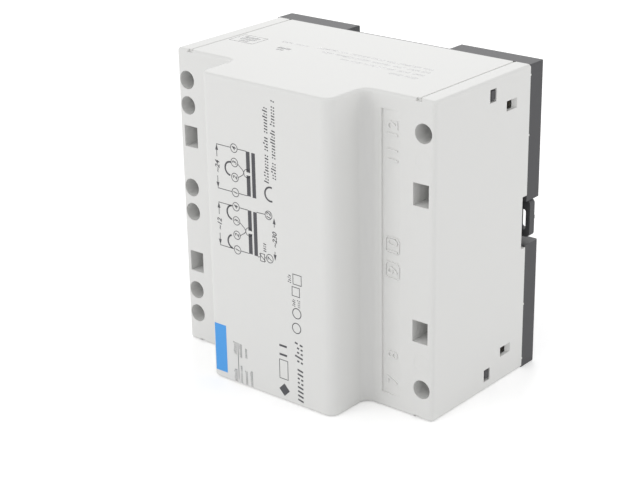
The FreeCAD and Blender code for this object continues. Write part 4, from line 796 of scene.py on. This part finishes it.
def draw_primary(work, sizes):
    """Mains side of the diagram: two numbered circles, the thermistor and the mains voltage."""
    fine = in_millimetres(sizes.fine_line)
    radius = in_millimetres(sizes.circle)
    top, foot = MAINS_CIRCLES
    for number, height in ((12, top), (7, foot)):
        draw_numbered_circle(work, number, (MAINS_COLUMN, height), sizes)
    top_drop, foot_drop = MAINS_LINE_DROPS
    work.line([(SECOND_BAR[1], top - top_drop), (MAINS_COLUMN - radius, top)], fine)
    across, along = THERMISTOR_SYMBOL
    half_across, half_along = THERMISTOR_HALF
    work.line([(SECOND_BAR[1], along - foot_drop), (across - half_across, along)], fine)
    work.box(across - half_across, across + half_across, along - half_along, along + half_along, fine)
    aside, ahead = THERMISTOR_STROKE
    work.line([(across - aside, along + ahead), (across + aside, along - ahead)], fine)
    work.line([(across + half_across, along), (MAINS_COLUMN - radius, foot)], fine)
    draw_voltage(work, MAINS_VOLTAGE_COLUMN, *MAINS_VOLTAGE_ENDS, "~230", sizes)


class TRANSFORMER_OT_diagram(bpy.types.Operator):
    """Prints the wiring diagram on the raised front"""
    bl_idname = "transformer.diagram"
    bl_label = "Wiring Diagram"

    def execute(self, context):
        sizes = context.scene.print_sizes
        work = FlatWork(front_place, in_millimetres(sizes.film))
        draw_secondary(work, UPPER_CIRCLES, UPPER_BRIDGES, "~24", sizes)
        draw_secondary(work, LOWER_CIRCLES, LOWER_BRIDGES, "~12", sizes)
        draw_primary(work, sizes)
        work.line(three_point_arc(*SAMPLE_BRIDGE), in_millimetres(sizes.bold_line))
        work.finish("wiring_diagram", diagram_material(), "grey_ink", ["diagram_print"])
        dress("colour_bar", ink("blue_ink", context.scene.finish_colours.field, wear=0.12))
        return {"FINISHED"}


class TRANSFORMER_OT_fine_print(bpy.types.Operator):
    """Prints rows of plain strokes, bars and outlines beside the diagram"""
    bl_idname = "transformer.fine_print"
    bl_label = "Fine Print"

    def execute(self, context):
        sizes = context.scene.print_sizes
        fine = in_millimetres(sizes.fine_line)
        ring_line = 1.3 * fine
        work = FlatWork(front_place, in_millimetres(sizes.film))
        for seed, (column, low, high, height, stroke) in enumerate(FRONT_ROWS):
            work.strokes(column, low, high, height, stroke, seed)
        work.line(FRONT_RULE, fine)
        for edges in FRONT_BOXES:
            work.box(*edges, fine)
        for edges in FRONT_BARS:
            work.field(*edges)
        for centre in FRONT_RINGS:
            work.circle(centre, RING_RADIUS, ring_line)
        work.plate(LOZENGE)
        work.finish("fine_print", diagram_material(), "grey_ink")
        return {"FINISHED"}


class TRANSFORMER_OT_side_print(bpy.types.Operator):
    """Prints pale rows of plain strokes and a box of bars on the side face"""
    bl_idname = "transformer.side_print"
    bl_label = "Side Print"

    def execute(self, context):
        colours, sizes = context.scene.finish_colours, context.scene.print_sizes
        film = in_millimetres(sizes.film)
        work = FlatWork(side_place, film)
        for seed, (depth, start, end, height, stroke) in enumerate(SIDE_ROWS):
            work.strokes(depth, start, end, height, stroke, seed, slant=-work.STROKE_SLANT)
        work.finish("side_print", ink("faint_ink", colours.faint_print, wear=0.9), "grey_ink")
        marks = FlatWork(side_place, film)
        marks.box(*SIDE_BOX, SIDE_BOX_LINE)
        for edges in SIDE_BARS:
            marks.field(*edges)
        marks.finish("side_marks", ink("side_mark_ink", colours.side_marks, wear=0.6), "grey_ink")
        return {"FINISHED"}


def draw_number_frame(work, column, row):
    """Raised line round a moulded number."""
    corners = []
    for across, along in ((-1, -1), (1, -1), (1, 1), (-1, 1)):
        near_first = across == along
        points = [(column + across * FRAME_HALF_ACROSS, row + along * (FRAME_HALF_ALONG - FRAME_CUT)),
                  (column + across * (FRAME_HALF_ACROSS - FRAME_CUT), row + along * FRAME_HALF_ALONG)]
        corners += points if near_first else points[::-1]
    work.line(corners, FRAME_LINE, closed=True)


class TRANSFORMER_OT_moulded_numbers(bpy.types.Operator):
    """Raises the terminal numbers on the strips of both shoulders"""
    bl_idname = "transformer.moulded_numbers"
    bl_label = "Moulded Numbers"

    def execute(self, context):
        sizes = context.scene.print_sizes
        size = in_millimetres(sizes.relief_digit)
        work = FlatWork(strip_place, in_millimetres(sizes.relief))
        for side, first in ((MAINS_SIDE, 12), (LOW_VOLTAGE_SIDE, 6)):
            for step, row in enumerate(NUMBER_ROWS):
                number = first - step
                work.number(number, (side * NUMBER_COLUMN, row), size, slant=0.0)
                if number in FRAMED_NUMBERS:
                    draw_number_frame(work, side * NUMBER_COLUMN, row)
        work.finish("moulded_numbers", light_plastic(), "light_plastic")
        return {"FINISHED"}


class TRANSFORMER_OT_moulded_marks(bpy.types.Operator):
    """Adds the ejector marks of the shoulders and the nubs on the shell's back edge"""
    bl_idname = "transformer.moulded_marks"
    bl_label = "Moulded Marks"

    def execute(self, context):
        rings = FlatWork(shoulder_place, EJECTOR_HEIGHT)
        for row in EJECTOR_ROWS:
            rings.circle((EJECTOR_COLUMN, row), EJECTOR_RADIUS, EJECTOR_LINE)
        rings.finish("ejector_marks", light_plastic(), "light_plastic")
        nubs = FlatWork(back_edge_place, NUB_HEIGHT)
        for row in NUB_ROWS:
            for side in (LOW_VOLTAGE_SIDE, MAINS_SIDE):
                left, right = sorted(side * (TERMINAL_END - inset) for inset in NUB_SIDES)
                nubs.field(left, right, row - NUB_HALF_LENGTH, row + NUB_HALF_LENGTH)
        nubs.finish("edge_nubs", light_plastic(), "light_plastic")
        return {"FINISHED"}


def add_latch_spring(material):
    """Spring that stands against the base's post and shortens as the latch is drawn out."""
    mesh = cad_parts["latch_spring"].data.copy()
    spring = add_piece("latch_spring_coil", mesh, material, "casing", ["latch_spring"])
    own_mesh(spring)


class TRANSFORMER_OT_casing(bpy.types.Operator):
    """Gives the shell, the base and the latch their moulded finish, and adds the latch's spring"""
    bl_idname = "transformer.casing"
    bl_label = "Casing"

    def execute(self, context):
        colours = context.scene.finish_colours
        dress("housing", light_plastic())
        dress("base", dark_plastic())
        dress("rail_latch", dark_plastic())
        add_latch_spring(metal("spring_steel", colours.spring, roughness=0.3, stretch=(0.05, 1.0, 1.0)))
        return {"FINISHED"}


class TRANSFORMER_OT_inner_pieces(bpy.types.Operator):
    """Finishes the core, the bobbin, the windings, the carriers and the leads"""
    bl_idname = "transformer.inner_pieces"
    bl_label = "Inner Pieces"

    def execute(self, context):
        colours, sizes = context.scene.finish_colours, context.scene.surface_sizes
        core = metal("core_steel", colours.core, roughness=0.5, stretch=(0.08, 1.0, 1.0),
                     streak_size=0.0004)
        dress("core_e_sheets", core)
        dress("core_i_sheets", core)
        dress("bobbin", inner_plastic("bobbin_plastic", colours.bobbin))
        dress("primary_winding", winding_wire("fine_copper", sizes.fine_wire_pitch))
        dress("secondary_winding_inner", winding_wire("enamelled_copper", sizes.wire_pitch))
        dress("secondary_winding_outer", winding_wire("enamelled_copper", sizes.wire_pitch))
        tape = sleeve("insulating_tape", colours.tape)
        dress("primary_tape", tape)
        dress("secondary_tape", tape)
        tinned = metal("tinned_pins", colours.tinned, roughness=0.4, stretch=(0.1, 1.0, 1.0))
        dress("winding_pins", tinned)
        dress("thermistor", sleeve("thermistor_coating", colours.lacquer))
        # Near-black carrier finish: painted shade for the depths of the terminal wells.
        carrier = inner_plastic("carrier_plastic", colours.carrier)
        dress("primary_terminal_carrier", carrier)
        dress("secondary_terminal_carrier", carrier)
        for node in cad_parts:
            if node.startswith("secondary_lead"):
                dress(node, sleeve("low_voltage_sleeve", colours.white_sleeve))
            if node.startswith("primary_lead"):
                dress(node, sleeve("mains_sleeve", colours.brown_sleeve))
        return {"FINISHED"}


def turned_shape(profile, count=40):
    """Closed round shape about Y from rings of level and radius, a radius being a number or a function."""
    shape = bmesh.new()
    rings = []
    for level, radius in profile:
        ring = []
        for step in range(count):
            angle = math.tau * step / count
            reach = radius(angle) if callable(radius) else radius
            ring.append(shape.verts.new((reach * math.cos(angle), level, reach * math.sin(angle))))
        rings.append(ring)
    for lower, upper in zip(rings, rings[1:]):
        for step in range(count):
            after = (step + 1) % count
            shape.faces.new((lower[step], lower[after], upper[after], upper[step]))
    shape.faces.new(rings[0][::-1])
    shape.faces.new(rings[-1])
    bmesh.ops.recalc_face_normals(shape, faces=shape.faces)
    return shape


def thread_profile(start, end, crest, depth, pitch):
    """Rings of a thread: a crest that climbs one pitch for each turn."""
    rows_per_pitch, flank = 6, 2.4
    count = max(2, round((end - start) / pitch * rows_per_pitch))

    def ring(level):
        def radius(angle):
            phase = (level / pitch - angle / math.tau) % 1.0
            return crest - depth * min(1.0, flank * abs(phase - 0.5))
        return radius

    levels = [start + (end - start) * step / count for step in range(count + 1)]
    return [(level, ring(level)) for level in levels]


def cut_slot(shape, width, depth, head_front, reach):
    """Takes the screwdriver slot out of a head."""
    blank = bpy.data.meshes.new("blank")
    shape.to_mesh(blank)
    shape.free()
    screw = bpy.data.objects.new("blank", blank)
    cutter_shape = bmesh.new()
    bmesh.ops.create_cube(cutter_shape, size=1.0)
    for vertex in cutter_shape.verts:
        across, level, along = vertex.co
        vertex.co = Vector((across * width, head_front + level * 2 * depth, along * 4 * reach))
    cutter_mesh = bpy.data.meshes.new("cutter")
    cutter_shape.to_mesh(cutter_mesh)
    cutter_shape.free()
    cutter = bpy.data.objects.new("cutter", cutter_mesh)
    for item in (screw, cutter):
        bpy.context.scene.collection.objects.link(item)
    cut = screw.modifiers.new("slot", "BOOLEAN")
    cut.object = cutter
    cut.operation = "DIFFERENCE"
    bpy.context.view_layer.update()
    mesh = bpy.data.meshes.new_from_object(screw.evaluated_get(bpy.context.evaluated_depsgraph_get()))
    for item in (screw, cutter):
        bpy.data.objects.remove(item)
    bpy.data.meshes.remove(blank)
    bpy.data.meshes.remove(cutter_mesh)
    return mesh


def screw_mesh(low, high, sizes):
    """Slotted screw with a chamfered head and a cut thread, about its own axis."""
    head_front, tip = low[1], high[1]
    head_radius = (high[0] - low[0]) / 2
    head_back = head_front + sizes.head_height
    shank = sizes.shank_radius
    chamfer = sizes.head_chamfer
    profile = [(head_front, head_radius - chamfer), (head_front + chamfer, head_radius),
               (head_back - chamfer / 2, head_radius), (head_back, head_radius - chamfer / 2),
               (head_back, shank - sizes.thread_depth)]
    start, end = head_back + sizes.pitch, tip - sizes.pitch
    profile += thread_profile(start, end, shank, sizes.thread_depth, sizes.pitch)
    tip_taper = 1.6 * sizes.thread_depth
    profile.append((tip, shank - tip_taper))
    shape = turned_shape(profile)
    return cut_slot(shape, sizes.slot_width, sizes.slot_depth, head_front, head_radius)


class TRANSFORMER_OT_terminals(bpy.types.Operator):
    """Cuts the terminal screws and finishes the cages and the contact bars"""
    bl_idname = "transformer.terminals"
    bl_label = "Terminals"

    def execute(self, context):
        colours, sizes = context.scene.finish_colours, context.scene.screw_sizes
        plated = metal("plated_steel", colours.plated, roughness=0.32, stretch=(1.0, 0.1, 1.0))
        brass = metal("contact_brass", colours.brass, roughness=0.34, stretch=(0.08, 1.0, 1.0))
        for number in LOW_VOLTAGE_TERMINALS + MAINS_TERMINALS:
            node = f"terminal_{number}_screw"
            low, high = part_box(node)
            mesh = screw_mesh(low, high, sizes)
            axis = Vector(((low[0] + high[0]) / 2, 0.0, (low[2] + high[2]) / 2))
            for vertex in mesh.vertices:
                vertex.co += axis
            add_piece(f"screw_{number}_threaded", mesh, plated, f"screw_{number}", [node])
            dress(f"terminal_{number}_cage", plated)
            dress(f"terminal_{number}_bar", brass)
        return {"FINISHED"}


def seen_ray(tree):
    """One where a ray comes from the camera, a gloss or a clear body, and zero elsewhere."""
    path = add_node(tree, "ShaderNodeLightPath")
    seen = math_node(tree, "MAXIMUM", path.outputs["Is Camera Ray"], path.outputs["Is Glossy Ray"])
    return math_node(tree, "MAXIMUM", seen, path.outputs["Is Transmission Ray"])


def floor_material(stage):
    """White floor that keeps the shadow and lifts to white where it is seen."""
    material = bpy.data.materials.new("floor_white")
    material.use_nodes = True
    tree = material.node_tree
    shader = tree.nodes["Principled BSDF"]
    place = add_node(tree, "ShaderNodeTexCoord").outputs["Object"]
    grain_scale, grain_roughness, floor_roughness = 300.0, 0.1, 0.85
    grain = noise_node(tree, place, grain_scale)
    roughness = math_node(tree, "MULTIPLY_ADD", grain, grain_roughness, floor_roughness)
    tree.links.new(roughness, shader.inputs["Roughness"])
    shader.inputs["Base Color"].default_value = opaque(stage.floor_colour)
    glow = math_node(tree, "MULTIPLY", seen_ray(tree), stage.floor_lift)
    shader.inputs["Emission Color"].default_value = WHITE
    tree.links.new(glow, shader.inputs["Emission Strength"])
    return material


def set_sky(stage):
    """Even light from all round, and white where the sky itself is seen."""
    world = bpy.data.worlds.new("studio")
    world.use_nodes = True
    tree = world.node_tree
    level = add_node(tree, "ShaderNodeMix", {"Factor": seen_ray(tree), "A": stage.sky_level, "B": 1.0},
                     data_type="FLOAT")
    background = tree.nodes["Background"]
    background.inputs["Color"].default_value = WHITE
    tree.links.new(level.outputs["Result"], background.inputs["Strength"])
    bpy.context.scene.world = world


def add_lamp(name, place, size, power):
    """Soft square lamp that points at the middle of the object."""
    data = bpy.data.lights.new(name, "AREA")
    data.size = size
    data.energy = power
    lamp = bpy.data.objects.new(name, data)
    lamp.location = place
    lamp.rotation_euler = (Vector(LAMP_AIM) - Vector(place)).to_track_quat("-Z", "Y").to_euler()
    bpy.context.scene.collection.objects.link(lamp)


class TRANSFORMER_OT_stage(bpy.types.Operator):
    """Sets the floor, the light and the camera"""
    bl_idname = "transformer.stage"
    bl_label = "Stage"

    def execute(self, context):
        stage = context.scene.stage_settings
        half = stage.floor_size / 2
        mesh = bpy.data.meshes.new("floor")
        corners = [(-half, -half, 0), (half, -half, 0), (half, half, 0), (-half, half, 0)]
        mesh.from_pydata(corners, [], [range(4)])
        mesh.materials.append(floor_material(stage))
        floor = bpy.data.objects.new("floor", mesh)
        context.scene.collection.objects.link(floor)
        set_sky(stage)
        for name, place, size, power in LAMPS:
            add_lamp(name, place, size, getattr(stage, power))
        data = bpy.data.cameras.new("camera")
        data.lens = stage.focal_length
        data.clip_start = NEAREST_VIEW
        camera = bpy.data.objects.new("camera", data)
        camera.location = stage.camera_place
        camera.rotation_euler = stage.camera_turn
        context.scene.collection.objects.link(camera)
        context.scene.camera = camera
        context.scene.view_settings.view_transform = "Standard"
        return {"FINISHED"}


OPERATORS = (TRANSFORMER_OT_casing, TRANSFORMER_OT_inner_pieces, TRANSFORMER_OT_terminals,
             TRANSFORMER_OT_moulded_numbers, TRANSFORMER_OT_moulded_marks, TRANSFORMER_OT_diagram,
             TRANSFORMER_OT_fine_print, TRANSFORMER_OT_side_print, TRANSFORMER_OT_stage)
GROUPS = {"finish_colours": FinishColours, "surface_sizes": SurfaceSizes, "print_sizes": PrintSizes,
          "screw_sizes": ScrewSizes, "stage_settings": StageSettings}


class TRANSFORMER_PT_looks(bpy.types.Panel):
    """Lists the settings and the steps"""
    bl_idname = "TRANSFORMER_PT_looks"
    bl_label = "Transformer Looks"
    bl_space_type = "VIEW_3D"
    bl_region_type = "UI"
    bl_category = "Transformer"

    def draw(self, context):
        for operator in OPERATORS:
            self.layout.operator(operator.bl_idname)
        for name, group in GROUPS.items():
            box = self.layout.box()
            box.label(text=group.__doc__)
            for key in group.__annotations__:
                box.prop(getattr(context.scene, name), key)


def register():
    for group in GROUPS.values():
        bpy.utils.register_class(group)
    for name, group in GROUPS.items():
        setattr(bpy.types.Scene, name, bpy.props.PointerProperty(type=group))
    for item in OPERATORS + (TRANSFORMER_PT_looks,):
        bpy.utils.register_class(item)


def unregister():
    for item in reversed(OPERATORS + (TRANSFORMER_PT_looks,)):
        bpy.utils.unregister_class(item)
    for name in GROUPS:
        delattr(bpy.types.Scene, name)
    for group in GROUPS.values():
        bpy.utils.unregister_class(group)


def main():
    register()
    for operator in OPERATORS:
        area, step = operator.bl_idname.split(".")
        getattr(getattr(bpy.ops, area), step)()


if __name__ == "__main__":
    main()
